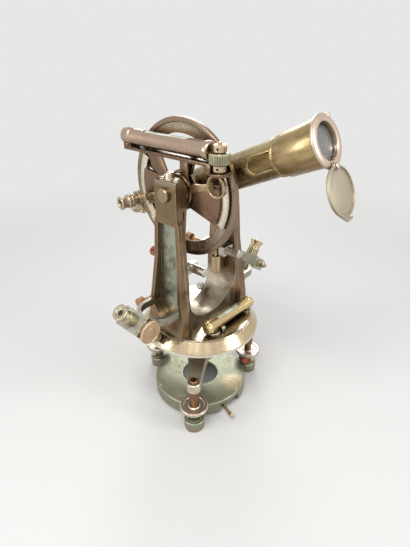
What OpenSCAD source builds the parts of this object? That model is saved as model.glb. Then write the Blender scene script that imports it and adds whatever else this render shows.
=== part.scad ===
// Micrometer theodolite on a three screw levelling base.
// Millimetres. Origin on the ground at the vertical axis, +Z up.
// X runs along the trunnion axis, +Y is the side the objective looks to.
// The levelling base and the tribrach stay still, the limb turns on them,
// and the standards with the telescope turn on the limb.

/* [Base] */
// Radius of the round base
base_r = 58.9; // [54:0.1:62]
// Height of the top of the base cover
base_top = 19.7; // [18:0.1:22]
// Thickness of the base cover
cover_t = 3.2; // [2:0.1:5]
// Radius of the hole in the base cover
cover_hole_r = 22.6; // [16:0.1:30]
// Distance of the tripod thread from the edge of the base
thread_in = 14.9; // [13.9:0.1:18.9]
// Wall of the threaded collar
collar_t = 4; // [3:0.1:5]
// Wall of the base rim
rim_t = 3.9; // [3:0.1:4.5]
// Height of the foot pads
pad_h = 4; // [2:0.1:5]
// Radius of the foot lugs
lug_r = 12; // [10:0.1:13]
// Height of the top of the foot lugs
lug_top = 14; // [13:0.1:15]
// Distance of the foot screws outside the edge of the base
foot_out = 13.1; // [12.1:0.1:19]
// Azimuth of the first foot screw
foot_az = 37; // [30:1:44]
// Azimuth of the lock lever where it locks
lever_az = 72; // [70:1:80]
// Turn of the lock lever to its open end
lever_turn = 22; // [10:1:30]
// Reach of the lock lever past the edge of the base
lever_out = 19.1; // [11.1:0.1:26.1]

/* [Foot screws] */
// Radius of the knurled wheels
wheel_r = 16.5; // [14:0.1:18]
// Thickness of the knurled wheels
wheel_t = 5; // [4:0.1:7]
// Height of the underside of the wheels
wheel_z = 30; // [28:0.1:32]
// Radius of the levelling screws
screw_r = 4.5; // [3.5:0.1:5]
// Radius of the sleeve under each arm
sleeve_r = 6; // [5.5:0.1:7]
// Number of grooves round a wheel
wheel_grooves = 30; // [20:1:40]

/* [Tribrach] */
// Radius of the hub
hub_r = 20; // [18:0.1:21]
// Height of the hub's lower end
hub_z = 54; // [50:0.1:56]
// Height of the arms' bosses above the ground
boss_z = 58; // [57:0.1:60]
// Height of an arm boss
boss_h = 12; // [10:0.1:14]
// Radius of an arm boss
boss_r = 8; // [7:0.1:9]
// Radius of the outer spindle
outer_spindle_r = 14; // [12:0.1:15]
// Radius of the inner spindle
inner_spindle_r = 8; // [7:0.1:9]
// Height of the seat of the lower clamp
hub_top = 82; // [80:0.1:83]

/* [Plates] */
// Radius of the upper plate, the size the maker names the instrument by
plate_r = 70; // [68:0.1:72]
// Height of the top of the upper plate
plate_top = 118; // [116:0.1:120]
// Width of the bevel
bevel_w = 8.1; // [6:0.1:9]
// Height of the bevel
bevel_h = 9.9; // [8:0.1:11]
// Height of the limb's top
limb_top = 105.5; // [104:0.1:106]
// Width of the reading windows
window_w = 16; // [12:0.1:20]

/* [Standards] */
// Height of the trunnion axis
axis_z = 274.2; // [273:0.1:276]
// Half of the clear width between the standards
gap_x = 39; // [39:0.1:41]
// Height of the lowest point of the bowl
bowl_z = 123.5; // [122.5:0.1:123.6]
// Thickness of the web of a standard
web_t = 5; // [4:0.1:6]
// Outer half width at the heads
head_x = 48; // [47:0.1:50]
// Inner half width at the heads
head_in = 33; // [33:0.1:34]
// Half width of the casting under the telescope
waist_y = 16; // [14:0.1:18]
// Half width of the casting at its feet
foot_y = 26.4; // [25:0.1:28]
// Half width of the heads
head_y = 15; // [14:0.1:16]
// Width of the ribs at the edges of a standard
rib_w = 5; // [4:0.1:6]
// Height of the top of the heads
head_top = 283; // [282:0.1:284]

/* [Telescope] */
// Tilt of the telescope above the horizontal
rest_tilt = 24; // [10:1:40]
// Radius of the tube
tube_r = 16.3; // [15:0.1:17]
// Wall of the tube
tube_t = 1.7; // [1.2:0.1:2.5]
// Radius of the front part of the tube
front_r = 18.8; // [18:0.1:19.2]
// Distance from the trunnion to the objective cell
cell_s = 140; // [135:0.1:141]
// Length of the objective cell
cell_len = 8; // [6:0.1:8]
// Radius of the objective cell
cell_r = 21.7; // [21:0.1:22.5]
// Clear radius of the objective
lens_r = 17; // [15:0.1:17.5]
// Radius of the trunnion axis
trunnion_r = 7; // [6:0.1:8]
// Reach of the eyepiece behind the trunnion
eye_reach = 147; // [142:0.1:147.3]
// Length of the eyepiece behind the collar of the focusing tube
eyepiece_len = 37; // [30:0.5:40]
// Radius of the focusing tube
draw_r = 6.7; // [6:0.1:7.5]
// Travel of the focusing tube
draw_travel = 20; // [10:1:24]

/* [Vertical circle] */
// Outer radius of the vertical circle
circle_r = 68.5; // [64:0.1:70]
// Inner radius of its rim
circle_in = 54; // [50:0.1:56]
// Inner face of the vertical circle
circle_x = 19.7; // [19.5:0.1:20.5]
// Thickness of the rim
circle_t = 5; // [4:0.1:5.2]
// Width of a spoke
spoke_w = 15; // [10:0.1:18]

/* [Levels] */
// Radius of the altitude level
level_r = 8.5; // [7:0.1:9]
// Height of the altitude level
level_z = 315; // [314:0.1:320]
// Distance of the altitude level from the middle
level_x = 35; // [34:0.1:37]
// Radius of the plate level
plate_level_r = 4.8; // [4:0.1:5]
// Distance of the plate level from the middle
plate_level_y = 40; // [39:0.1:43]
// Length of the plate level
plate_level_len = 74; // [60:0.5:80]

/* [Microscopes] */
// Distance of the eyepiece face from the vertical axis
eye_x = 114; // [110:0.1:118]
// Height of the eyepiece face
eye_z = 173; // [170:0.1:176]
// Lean of the microscopes from the vertical
lean = 38; // [34:0.5:42]
// Radius of the microscope tubes
micro_r = 6.5; // [6:0.1:7.5]
// Length of a micrometer box
box_l = 34; // [30:0.1:38]
// Width of a micrometer box
box_w = 22; // [20:0.1:24]
// Depth of a micrometer box
box_d = 14; // [12:0.1:15]
// Radius of the micrometer drums
drum_r = 12.5; // [10:0.1:14]

/* [Hidden] */
$fn = 64;
run = 0.05;
gap = 0.3;
eps = 1;
rim_top = base_top - cover_t;
tripod_r = base_r - thread_in;
foot_pitch = base_r + foot_out;
lever_tip = base_r + lever_out;
bevel_r = plate_r - bevel_w;
collar_r = tripod_r + collar_t;
rim_in = base_r - rim_t;
floor_top = 8;
lever_z = 11;
ball_r = 5.2;
ball_z = pad_h + 1 + gap + ball_r;
keeper_t = 2.5;
neck_top = 25;
keeper_r = screw_r + 5;
keeper_screw_y = screw_r + 2.4;
arm_z = boss_z + boss_h;
flange_r = 22;
flange_z = hub_top + 2.6;
flange_top = 90;
plate_z = limb_top + gap;
bevel_z = plate_top - 1.5;
limb_r = plate_r - 0.2;
recess_z = plate_top - 6;
pad_x = 54.6;
bow_z = 146;
bow_h = 8;
bow_r = 22.3;
bow_t = 4.3;
bow_x = 66;
frame_x = circle_x + circle_t + 2;
frame_t = 3.3;
arc_x = circle_x + circle_t + gap;
vernier_in = circle_in + 3;
vernier_out = circle_in + 7;
leg_z = 80;
clip_gap = 0.75;
strip_z = level_z - level_r - 6.5;
strip_t = 3;
arm_t = 6;
arm_x = frame_x + frame_t / 2 - arm_t / 2;
tail_s = -75;
collar_s = eyepiece_len - eye_reach;
cap_t = 2;
cap_r = 20.5;
pin_n = 19.8;
cap_turn = 5;
cap_s = cell_s + cell_len + 0.35;
level_y0 = -63;
level_y1 = 48;
plate_level_z = plate_top + plate_level_r + 2.7;
tangent_y = -55;
tangent_z = plate_top + 10;
mag_angle = 16.7;
mag_r = 59;
knob_az = 87;
pinion_r = (tube_r - tube_t - draw_r - gap - 0.8) / 2;
pinion_y = draw_r + gap + pinion_r;
pinion_s = -45;
plate_level_x = 28 - plate_level_len;
level_end = 4.5;
arc_low = -32;
arc_high = min(28, asin((strip_z - axis_z - gap) / (circle_in + 3)));

// Shared forms

module ring(ro, ri, h) {
    difference() {
        cylinder(r = ro, h = h);
        translate([0, 0, -eps]) cylinder(r = ri, h = h + 2 * eps);
    }
}

module turned(outline) {
    rotate_extrude() polygon(outline);
}

module sector(ro, ri, from, to, h) {
    rotate([0, 0, from])
        rotate_extrude(angle = to - from)
            translate([ri, 0]) square([ro - ri, h]);
}

module along_x() {
    rotate([0, 90, 0]) children();
}

module along_y() {
    rotate([-90, 0, 0]) children();
}

// Plane of the vertical circle: local x is +Y, local y is +Z, local z is +X
module circle_plane(x) {
    translate([x, 0, axis_z]) rotate([90, 0, 90]) children();
}

// Along the telescope: local z towards the objective, local y downwards
module scope() {
    translate([0, 0, axis_z]) rotate([rest_tilt - 90, 0, 0]) children();
}

// At a foot screw: local x away from the vertical axis
module at_foot(i) {
    rotate([0, 0, foot_az + 120 * i]) translate([foot_pitch, 0, 0]) children();
}

// Along a microscope: local z from its eyepiece down to the limb
module microscope(i) {
    rotate([0, 0, 180 * i])
        translate([eye_x, 0, eye_z])
            rotate([0, 180 + lean, 0]) children();
}

// A knurled head with fine grooves along its edge
module knurled(r, h, count) {
    difference() {
        turned([[0, 0], [r - 0.6, 0], [r, 0.6], [r, h - 0.6], [r - 0.6, h], [0, h]]);
        for (i = [0 : count - 1])
            rotate([0, 0, i * 360 / count])
                translate([r, 0, -eps])
                    rotate([0, 0, 45]) cube([0.8, 0.8, 4 * h], center = true);
    }
}

// A thumb screw: shank from the tip up to the head, head on top
module thumb_screw(shank_r, shank, head_r, head) {
    turned([[0, 0], [shank_r - 0.5, 0], [shank_r, 0.5], [shank_r, shank], [0, shank]]);
    translate([0, 0, shank]) knurled(head_r, head, 24);
}

// Levelling base

module foot_pads() {
    color("peru")
        for (i = [0 : 2])
            at_foot(i) turned([[0, 0], [lug_r - 1.4, 0], [lug_r - 0.6, 0.8], [lug_r - 0.6, pad_h], [0, pad_h]]);
}

module base_plate() {
    color("darkseagreen")
        difference() {
            union() {
                turned([[tripod_r, 0], [collar_r, 0], [collar_r, 3], [base_r - 1.2, 3], [base_r, 4.2],
                    [base_r, rim_top], [rim_in, rim_top], [rim_in, floor_top], [collar_r, floor_top],
                    [collar_r, rim_top - 2.5], [tripod_r, rim_top - 2.5]]);
                for (i = [0 : 2])
                    at_foot(i) {
                        translate([0, 0, pad_h])
                            turned([[0, 0], [lug_r, 0], [lug_r, lug_top - pad_h - 1],
                                [lug_r - 1, lug_top - pad_h], [0, lug_top - pad_h]]);
                        intersection() {
                            translate([rim_in - foot_pitch + 1, -8, pad_h])
                                cube([foot_pitch - rim_in - 1, 16, lug_top - pad_h - 2]);
                            rotate([0, 0, -foot_az - 120 * i])
                                rotate([0, 0, foot_az + 120 * i])
                                    translate([-foot_pitch, 0, 0])
                                        ring(foot_pitch + lug_r, rim_in + 1, 40);
                        }
                    }
            }
            for (i = [0 : 2])
                at_foot(i) translate([0, 0, pad_h + 1]) cylinder(r = ball_r + 0.6, h = 30);
            sector(base_r + 2, rim_in - 1, lever_az - 4, lever_az + lever_turn + 4, lever_z + 3);
        }
}

module base_cover() {
    color("darkseagreen")
        difference() {
            turned([[cover_hole_r, rim_top], [base_r - 0.4, rim_top], [base_r, rim_top + 0.4],
                [base_r, base_top - 1], [base_r - 1, base_top], [cover_hole_r + 0.8, base_top],
                [cover_hole_r, base_top - 0.8]]);
            for (i = [0 : 2])
                rotate([0, 0, foot_az + 60 + 120 * i]) translate([base_r - rim_t / 2 - 0.6, 0, 0]) {
                    translate([0, 0, base_top - 1.6]) cylinder(r = 2.6, h = 5, $fn = 24);
                    cylinder(r = 1.5, h = 40, $fn = 24);
                }
        }
}

module base_screws() {
    color("goldenrod") {
        for (i = [0 : 2])
            rotate([0, 0, foot_az + 60 + 120 * i]) translate([base_r - rim_t / 2 - 0.6, 0, base_top - 1.6])
                slotted(2.4, 1.4);
        for (i = [0 : 2], s = [-1, 1])
            at_foot(i) translate([3, s * keeper_screw_y, lug_top + keeper_t]) slotted(1.8, 1);
    }
}

module slotted(r, h) {
    difference() {
        cylinder(r = r, h = h, $fn = 24);
        translate([-r, -0.35, h - 0.5]) cube([2 * r, 0.7, 2]);
    }
}

module foot_keepers() {
    color("olivedrab")
        for (i = [0 : 2])
            at_foot(i)
                difference() {
                    union() {
                        translate([0, 0, lug_top]) cylinder(r = keeper_r, h = keeper_t);
                        translate([0, 0, lug_top + keeper_t])
                            cylinder(r = screw_r + 0.9, h = neck_top - lug_top - keeper_t);
                        if (i == 1)
                            translate([-screw_r - 6.2, -5, lug_top + keeper_t])
                                cube([6.2, 9, neck_top - lug_top - keeper_t]);
                    }
                    translate([0, 0, lug_top - eps]) cylinder(r = screw_r - 0.5 + run, h = 40);
                    translate([-screw_r - 3.1, 0, neck_top - 3])
                        along_y() translate([0, 0, -20]) cylinder(r = 1.5 + run, h = 40, $fn = 32);
                }
}

module base_lock_knob() {
    color("sienna")
        at_foot(1)
            translate([-screw_r - 3.1, 3, neck_top - 3])
                rotate([90, 0, 0]) {
                    cylinder(r = 1.5, h = 8.3, $fn = 32);
                    translate([0, 0, 8.3]) knurled(5.2, 4.6, 20);
                }
}

module lock_ring() {
    color("darkkhaki")
        difference() {
            translate([0, 0, floor_top + gap])
                ring(rim_in - 0.4, collar_r + run, lever_z + 2.5 - floor_top - gap);
            rotate([0, 0, lever_az]) translate([0, 0, lever_z]) along_x() cylinder(r = 2 + run, h = base_r, $fn = 32);
        }
}

module lock_lever() {
    color("goldenrod")
        rotate([0, 0, lever_az]) translate([0, 0, lever_z]) along_x()
            translate([0, 0, collar_r + 0.6])
                turned([[0, 0], [2, 0], [2, lever_tip - collar_r - 8], [2.6, lever_tip - collar_r - 5],
                    [2.6, lever_tip - collar_r - 1.6], [1.6, lever_tip - collar_r - 0.6],
                    [0, lever_tip - collar_r - 0.6]]);
}

module foot_screw(i) {
    color("peru")
        at_foot(i) {
            translate([0, 0, ball_z]) sphere(r = ball_r);
            turned([[0, ball_z], [screw_r - 0.5, ball_z], [screw_r - 0.5, neck_top + gap],
                [sleeve_r, neck_top + gap + 1], [sleeve_r, wheel_z], [0, wheel_z]]);
            translate([0, 0, wheel_z + wheel_t])
                turned([[0, 0], [screw_r, 0], [screw_r, 8], [sleeve_r, 9], [sleeve_r, boss_z - wheel_z - wheel_t - gap],
                    [screw_r, boss_z - wheel_z - wheel_t - gap],
                    [screw_r, arm_z - wheel_z - wheel_t + 1.9], [screw_r - 0.8, arm_z - wheel_z - wheel_t + 2.7],
                    [0, arm_z - wheel_z - wheel_t + 2.7]]);
        }
}

module foot_wheel(i) {
    color("rosybrown")
        at_foot(i)
            translate([0, 0, wheel_z])
                difference() {
                    turned([[0, 0], [wheel_r - 2, 0], [wheel_r, 1], [wheel_r, wheel_t - 1],
                        [wheel_r - 1, wheel_t], [wheel_r - 4, wheel_t], [wheel_r - 5, wheel_t - 0.8],
                        [screw_r + 3, wheel_t - 0.8], [screw_r + 2, wheel_t], [0, wheel_t]]);
                    for (k = [0 : wheel_grooves - 1])
                        rotate([0, 0, k * 360 / wheel_grooves])
                            translate([wheel_r + 0.4, 0, -eps]) cylinder(r = 1, h = wheel_t + 2 * eps, $fn = 16);
                }
}

module foot_screw_a() {
    foot_screw(0);
}

module foot_wheel_a() {
    foot_wheel(0);
}

module foot_screw_b() {
    foot_screw(1);
}

module foot_wheel_b() {
    foot_wheel(1);
}

module foot_screw_c() {
    foot_screw(2);
}

module foot_wheel_c() {
    foot_wheel(2);
}

module tribrach() {
    color("tan")
        difference() {
            union() {
                turned([[outer_spindle_r - 1, hub_z], [hub_r - 2, hub_z], [hub_r, hub_z + 3], [hub_r, hub_top - 4],
                    [hub_r + 1.5, hub_top - 3], [hub_r + 1.5, hub_top], [outer_spindle_r - 1, hub_top]]);
                for (i = [0 : 2])
                    at_foot(i) {
                        intersection() {
                            linear_extrude(height = 100)
                                    polygon([[12 - foot_pitch, -12.5], [20 - foot_pitch, -12.5], [0, -6.5],
                                        [0, 6.5], [20 - foot_pitch, 12.5], [12 - foot_pitch, 12.5]]);
                            rotate([90, 0, 0])
                                linear_extrude(height = 60, center = true)
                                    polygon([[12 - foot_pitch, hub_z + 3.4], [20 - foot_pitch, hub_z + 3.4], [0, boss_z + 2],
                                        [0, arm_z - 2], [-boss_r, arm_z - 1], [20 - foot_pitch, hub_top - 4.6],
                                        [12 - foot_pitch, hub_top - 4.6]]);
                        }
                        translate([0, 0, boss_z])
                            turned([[0, 0], [boss_r - 0.8, 0], [boss_r, 0.8], [boss_r, boss_h - 0.8],
                                [boss_r - 0.8, boss_h], [0, boss_h]]);
                    }
            }
            cylinder(r = outer_spindle_r + run, h = 200);
            for (i = [0 : 2])
                at_foot(i) cylinder(r = screw_r + run, h = 200);
        }
}

module lower_clamp_collar() {
    color("tan")
        difference() {
            union() {
                translate([0, 0, hub_top])
                    cylinder(r = flange_r + gap + 4.5, h = flange_top + 0.8 - hub_top);
                rotate([0, 0, knob_az])
                    translate([0, -6, hub_top]) cube([40, 12, flange_top + 0.8 - hub_top]);
                rotate([0, 0, 217]) {
                    translate([0, -4, hub_top]) cube([42, 8, flange_top + 0.8 - hub_top]);
                    translate([16, 14, hub_top]) cube([26, 8, flange_top + 0.8 - hub_top]);
                }
            }
            translate([0, 0, hub_top - eps]) cylinder(r = outer_spindle_r + 1, h = 40);
            translate([0, 0, hub_top + 2.3]) cylinder(r = flange_r + gap, h = 40);
            rotate([0, 0, knob_az])
                translate([20, 0, hub_top + 4.4]) along_x() cylinder(r = 2.5 + run, h = 40, $fn = 32);
            rotate([0, 0, 217])
                translate([36, 13, hub_top + 4.4]) along_y() cylinder(r = 2.5 + run, h = 40, $fn = 32);
        }
}

module lower_clamp_knob() {
    color("saddlebrown")
        rotate([0, 0, knob_az])
            translate([flange_r + gap, 0, hub_top + 4.4]) along_x() thumb_screw(2.5, 20, 6.5, 8);
}

module lower_tangent_screw() {
    color("saddlebrown")
        rotate([0, 0, 217])
            translate([36, 4 + gap, hub_top + 4.4]) along_y() thumb_screw(2.5, 26, 6, 8);
}

// Limb

module limb_spindle() {
    color("goldenrod")
        difference() {
            turned([[inner_spindle_r + run, hub_z - 4], [outer_spindle_r + 3, hub_z - 4],
                [outer_spindle_r + 3, hub_z - gap], [outer_spindle_r, hub_z - gap],
                [outer_spindle_r, flange_z], [flange_r, flange_z], [flange_r, flange_top],
                [inner_spindle_r + run, flange_top]]);
        }
}

module horizontal_circle() {
    color("silver")
        turned([[inner_spindle_r + 1, flange_top], [flange_r, flange_top], [flange_r, flange_top + 4],
            [36, flange_top + 6.5], [plate_r - 12, flange_top + 8.5], [limb_r - 2, limb_top - 4],
            [limb_r, limb_top - 3], [limb_r, limb_top], [plate_r - 15, limb_top],
            [plate_r - 16, limb_top - 3], [36, flange_top + 10], [inner_spindle_r + 1, flange_top + 10]]);
}

// Alidade

module upper_plate() {
    color("darkkhaki")
        difference() {
            turned([[0, recess_z], [plate_r - 14, recess_z], [plate_r - 12, plate_z], [plate_r, plate_z],
                [plate_r, bevel_z - bevel_h], [bevel_r, bevel_z], [bevel_r - 0.7, bevel_z],
                [bevel_r - 0.7, bevel_z + 0.6], [bevel_r - 1.4, plate_top], [0, plate_top]]);
            for (s = [-1, 1])
                translate([s * (bevel_r + 2.1) - 3.5, -window_w / 2, plate_z - 5]) cube([7, window_w, 40]);
        }
}

module alidade_spindle() {
    color("goldenrod")
        turned([[0, hub_z - 8], [inner_spindle_r + 4, hub_z - 8], [inner_spindle_r + 4, hub_z - 4 - gap],
            [inner_spindle_r, hub_z - 4 - gap], [inner_spindle_r, recess_z - 4], [inner_spindle_r + 10, recess_z - 4],
            [inner_spindle_r + 10, recess_z], [0, recess_z]]);
}

// Outline of the standards seen along Y
module standards_front() {
    difference() {
        union()
            for (s = [0, 1])
                mirror([s, 0])
                    polygon([[0, plate_top], [57.5, plate_top], [57, plate_top + 8], [pad_x, bow_z - 4],
                        [pad_x, bow_z + bow_h + 4], [head_x + 1.5, 205], [head_x, 250],
                        [head_x, head_top], [head_in, head_top], [head_in, 251],
                        [gap_x, 244], [gap_x, 160], [0, 160]]);
        translate([0, bowl_z + gap_x]) circle(r = gap_x, $fn = 96);
        translate([-gap_x, bowl_z + gap_x]) square([2 * gap_x, 85 + 50 - gap_x]);
    }
}

// Outline of the standards seen along X, smaller by t
module standards_side(t) {
    polygon([[-foot_y + t, plate_top], [foot_y - t, plate_top], [foot_y - t, plate_top + 20],
        [22.7 - t, plate_top + 46], [19.2 - t, plate_top + 87], [17 - t, axis_z - 28], [head_y - t, axis_z - 24],
        [head_y - t, axis_z + 14], [t - head_y, axis_z + 14], [t - head_y, axis_z - 24],
        [t - 17, axis_z - 28], [t - 19.2, plate_top + 87], [t - 22.7, plate_top + 46],
        [t - foot_y, plate_top + 20]]);
}

module standards() {
    color("darkkhaki")
        difference() {
            intersection() {
                rotate([90, 0, 0]) linear_extrude(height = 80, center = true) standards_front();
                rotate([90, 0, 90]) linear_extrude(height = 140, center = true) standards_side(0);
                translate([0, 0, plate_top - eps])
                    linear_extrude(height = 200)
                        polygon([[-58, -foot_y], [-46, -foot_y], [-34, -waist_y - 3], [0, -waist_y],
                            [34, -waist_y - 3], [46, -foot_y], [58, -foot_y], [58, foot_y], [46, foot_y],
                            [34, waist_y + 3], [0, waist_y], [-34, waist_y + 3], [-46, foot_y], [-58, foot_y]]);
            }
            for (s = [0, 1])
                mirror([s, 0, 0])
                    translate([gap_x + web_t, 0, 0])
                        rotate([90, 0, 90])
                            linear_extrude(height = 40)
                                intersection() {
                                    standards_side(rib_w);
                                    union() {
                                        translate([-40, 152]) square([80, axis_z - 30 - 152]);
                                        translate([0, 152]) circle(r = foot_y - rib_w - 1.5);
                                    }
                                }
            circle_plane(-100) cylinder(r = trunnion_r + run, h = 200);
        }
}

module trunnion_caps() {
    color("saddlebrown")
        for (s = [-1, 1])
            translate([s * (head_x + head_in) / 2, 0, head_top]) {
                translate([-7, -head_y + 0.5, 0]) cube([14, 2 * head_y - 1, 4.5]);
                translate([0, 0, 4.5]) turned([[0, 0], [3.5, 0], [3.5, 3], [2.6, 5], [0, 5.6]]);
            }
}

module cap_screws() {
    color("peru")
        for (s = [-1, 1], t = [-1, 1])
            translate([s * (head_x + head_in) / 2, t * 10, head_top + 4.5]) slotted(2.6, 2.2);
}

module plate_level_tube() {
    color("gold")
        translate([plate_level_x, plate_level_y, plate_level_z])
            difference() {
                along_x()
                    turned([[0, 0], [plate_level_r - 0.6, 0], [plate_level_r, 0.6], [plate_level_r, level_end - 0.5],
                        [plate_level_r - 0.5, level_end], [plate_level_r - 0.5, plate_level_len - level_end],
                        [plate_level_r, plate_level_len - level_end + 0.5], [plate_level_r, plate_level_len - 0.6],
                        [plate_level_r - 0.6, plate_level_len], [0, plate_level_len]]);
                translate([6, 0, 0]) along_x() cylinder(r = plate_level_r - 1.3, h = plate_level_len - 12);
                translate([plate_level_len / 2 - 17, -2.8, 0]) cube([34, 5.6, 20]);
            }
}

module plate_level_vial() {
    color("lightblue")
        translate([plate_level_x + 6.5, plate_level_y, plate_level_z]) along_x()
            cylinder(r = plate_level_r - 1.3 - run, h = plate_level_len - 13);
}

module plate_level_mounts() {
    color("darkkhaki")
        difference() {
            for (x = [plate_level_x + 8, plate_level_x + plate_level_len - 8])
                translate([x, plate_level_y, plate_top]) {
                    cylinder(r = 6, h = 1.6);
                    translate([-3, -4.2, 0]) cube([6, 8.4, plate_level_z - plate_top]);
                }
            translate([-100, plate_level_y, plate_level_z]) along_x() cylinder(r = plate_level_r - 0.5, h = 200);
        }
}

// Microscopes

module box_form(more) {
    translate([-box_w / 2 - more, -box_l / 2 - more, 28 - box_d / 2 - more])
        cube([box_w + 2 * more, box_l + 2 * more, box_d + 2 * more]);
}

module microscope_brackets() {
    color("darkkhaki")
        for (i = [0, 1])
            difference() {
                rotate([0, 0, 180 * i]) {
                    translate([0, 0, bow_z])
                        difference() {
                            union() {
                                translate([bow_x, 0, 0]) sector(bow_r, bow_r - bow_t, -90, 90, bow_h);
                                for (s = [-1, 1])
                                    translate([pad_x, s * (bow_r - bow_t / 2) - bow_t / 2, 0])
                                        cube([bow_x - pad_x, bow_t, bow_h]);
                            }
                        }
                    translate([bow_x + bow_r - bow_t, -8, bow_z - 9]) cube([9, 16, bow_h + 9]);
                }
                microscope(i) {
                    box_form(0);
                    cylinder(r = micro_r, h = 100);
                }
            }
}

module microscope_tubes() {
    color("darkgray")
        for (i = [0, 1])
            microscope(i) {
                difference() {
                    translate([0, 0, 14]) cylinder(r = micro_r + 1, h = 21 - box_d / 2);
                    cylinder(r = 5.5 + run, h = 30);
                    box_form(0);
                }
                translate([0, 0, 28 + box_d / 2])
                    turned([[0, 0], [micro_r, 0], [micro_r, 27], [micro_r - 2, 28], [micro_r - 2, 36],
                        [micro_r - 1.4, 36], [micro_r - 1.4, 37], [0, 37]]);
            }
}

module micrometer_boxes() {
    color("darkseagreen")
        for (i = [0, 1])
            microscope(i)
                difference() {
                    box_form(0);
                    translate([0, 2, 28]) along_y() cylinder(r = 2 + run, h = 30, $fn = 32);
                    translate([0, 0, 28 - box_d / 2 - eps]) cylinder(r = 5.5 + run, h = 4 + eps);
                }
}

module spring_caps() {
    color("darkgray")
        for (i = [0, 1])
            microscope(i)
                translate([0, -box_l / 2, 28]) rotate([90, 0, 0])
                    turned([[0, 0], [4.6, 0], [4.6, 1.5], [4, 2], [4, 7], [2.4, 8], [2.4, 10], [0, 10.5]]);
}

module micrometer_drum(i) {
    color("rosybrown")
        microscope(i)
            translate([0, 0, 28]) along_y() {
                translate([0, 0, 4]) cylinder(r = 2, h = box_l / 2 + gap - 4, $fn = 32);
                translate([0, 0, box_l / 2 + gap])
                    turned([[0, 0], [drum_r - 3.5, 0], [drum_r - 3.5, 3], [drum_r - 1, 3.4], [drum_r, 4.2], [drum_r, 7.4],
                        [drum_r - 0.8, 8], [drum_r - 2, 8], [drum_r - 2.4, 7.4], [0, 7.4]]);
            }
}

module micrometer_drum_a() {
    micrometer_drum(0);
}

module micrometer_drum_b() {
    micrometer_drum(1);
}

module microscope_eyepiece(i) {
    color("goldenrod")
        microscope(i)
            turned([[0, 1], [4, 1], [5, 0], [8.6, 0], [8.6, 2.4], [7.4, 3.4], [6.6, 9], [7.2, 10], [7.2, 13.6],
                [5.5, 13.6], [5.5, 23], [0, 23]]);
}

module microscope_eyepiece_a() {
    microscope_eyepiece(0);
}

module microscope_eyepiece_b() {
    microscope_eyepiece(1);
}

// Fine motions

module upper_tangent_bracket() {
    color("tan")
        difference() {
            union() {
                translate([-30, tangent_y - 4, plate_top]) cube([46, 8, 2]);
                translate([8, tangent_y - 4, plate_top]) cube([8, 8, 14.5]);
                translate([-3, tangent_y - 3, plate_top]) cube([6, 6, 14]);
                translate([-22, tangent_y - 3, plate_top]) cube([8, 6, 8]);
                translate([-30, tangent_y, tangent_z]) along_x() cylinder(r = 4.5, h = 26);
            }
            translate([7, tangent_y, tangent_z]) along_x() cylinder(r = 2.8 + run, h = 20, $fn = 32);
        }
}

module upper_tangent_screw() {
    color("peru")
        translate([3 + gap, tangent_y, tangent_z]) along_x() thumb_screw(2.8, 38, 6, 9);
}

// Ears on the standards that hold the index leg and the vertical clamp arm
module clip_brackets() {
    color("tan")
        for (s = [0, 1])
            mirror([s, 0, 0])
                difference() {
                    union() {
                        for (t = [-1, 1])
                            translate([22, t * 14 - 4, axis_z - leg_z - 5.5]) cube([gap_x - 22, 8, 11]);
                        translate([gap_x - 3, -18, axis_z - leg_z - 5.5]) cube([3, 36, 11]);
                        translate([frame_x + frame_t / 2, 4 + clip_gap, axis_z - leg_z])
                            along_y() turned([[0, 0], [1.6, 0], [1.6, 3], [5, 3.6], [5, 30], [4, 31], [0, 31]]);
                    }
                    translate([frame_x + frame_t / 2, -30, axis_z - leg_z])
                        along_y() cylinder(r = 2 + run, h = 24, $fn = 32);
                }
}

module clip_screw() {
    translate([frame_x + frame_t / 2, -4 - clip_gap, axis_z - leg_z])
        rotate([90, 0, 0]) thumb_screw(2, 34, 5.5, 8);
}

module index_screw() {
    color("sienna") clip_screw();
}

module vertical_tangent_screw() {
    color("sienna") mirror([1, 0, 0]) clip_screw();
}

module vertical_arm() {
    color("tan")
        difference() {
            union() {
                circle_plane(-arm_x - arm_t) cylinder(r = 13, h = arm_t);
                translate([-arm_x - arm_t, 0, 0])
                    rotate([90, 0, 90])
                        linear_extrude(height = arm_t)
                            polygon([[-9, axis_z - 8], [-4, axis_z - leg_z + 14], [-4, axis_z - leg_z - 8],
                                [4, axis_z - leg_z - 8], [4, axis_z - leg_z + 14], [9, axis_z - 8]]);
            }
            circle_plane(-100) cylinder(r = trunnion_r + run, h = 200);
            translate([-arm_x - arm_t / 2, 0, axis_z - leg_z - 10]) cylinder(r = 2 + run, h = 24, $fn = 32);
        }
}

module vertical_clamp_knob() {
    color("goldenrod")
        translate([-arm_x - arm_t / 2, 0, axis_z - leg_z + 12])
            rotate([180, 0, 0]) thumb_screw(2, 24, 5, 22);
}

module index_frame() {
    color("tan")
        difference() {
            union() {
                circle_plane(frame_x) {
                    translate([0, 0, -0.4]) cylinder(r = 14, h = frame_t + 0.5);
                    cylinder(r = 10, h = head_in - gap - frame_x);
                    linear_extrude(height = frame_t) {
                        polygon([[-9, -8], [-4, 14 - leg_z], [-4, -8 - leg_z], [4, -8 - leg_z], [4, 14 - leg_z], [9, -8]]);
                        polygon([[-12, 5], [-30, strip_z - axis_z], [-20, strip_z - axis_z], [-6, 10]]);
                        polygon([[2, 10], [3, strip_z - axis_z], [12, strip_z - axis_z], [10, 6]]);
                        for (s = [0, 1])
                            mirror([s, 0])
                                polygon([[8, -6], [vernier_in - 3, -4], [vernier_in - 3, 4], [8, 6]]);
                    }
                }
                circle_plane(arc_x)
                    for (s = [0, 1])
                        mirror([s, 0, 0])
                            sector(vernier_in, vernier_in - 5, arc_low, arc_high, frame_x + frame_t - 0.5 - arc_x);
            }
            circle_plane(-100) cylinder(r = trunnion_r + run, h = 200);
        }
}

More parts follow.
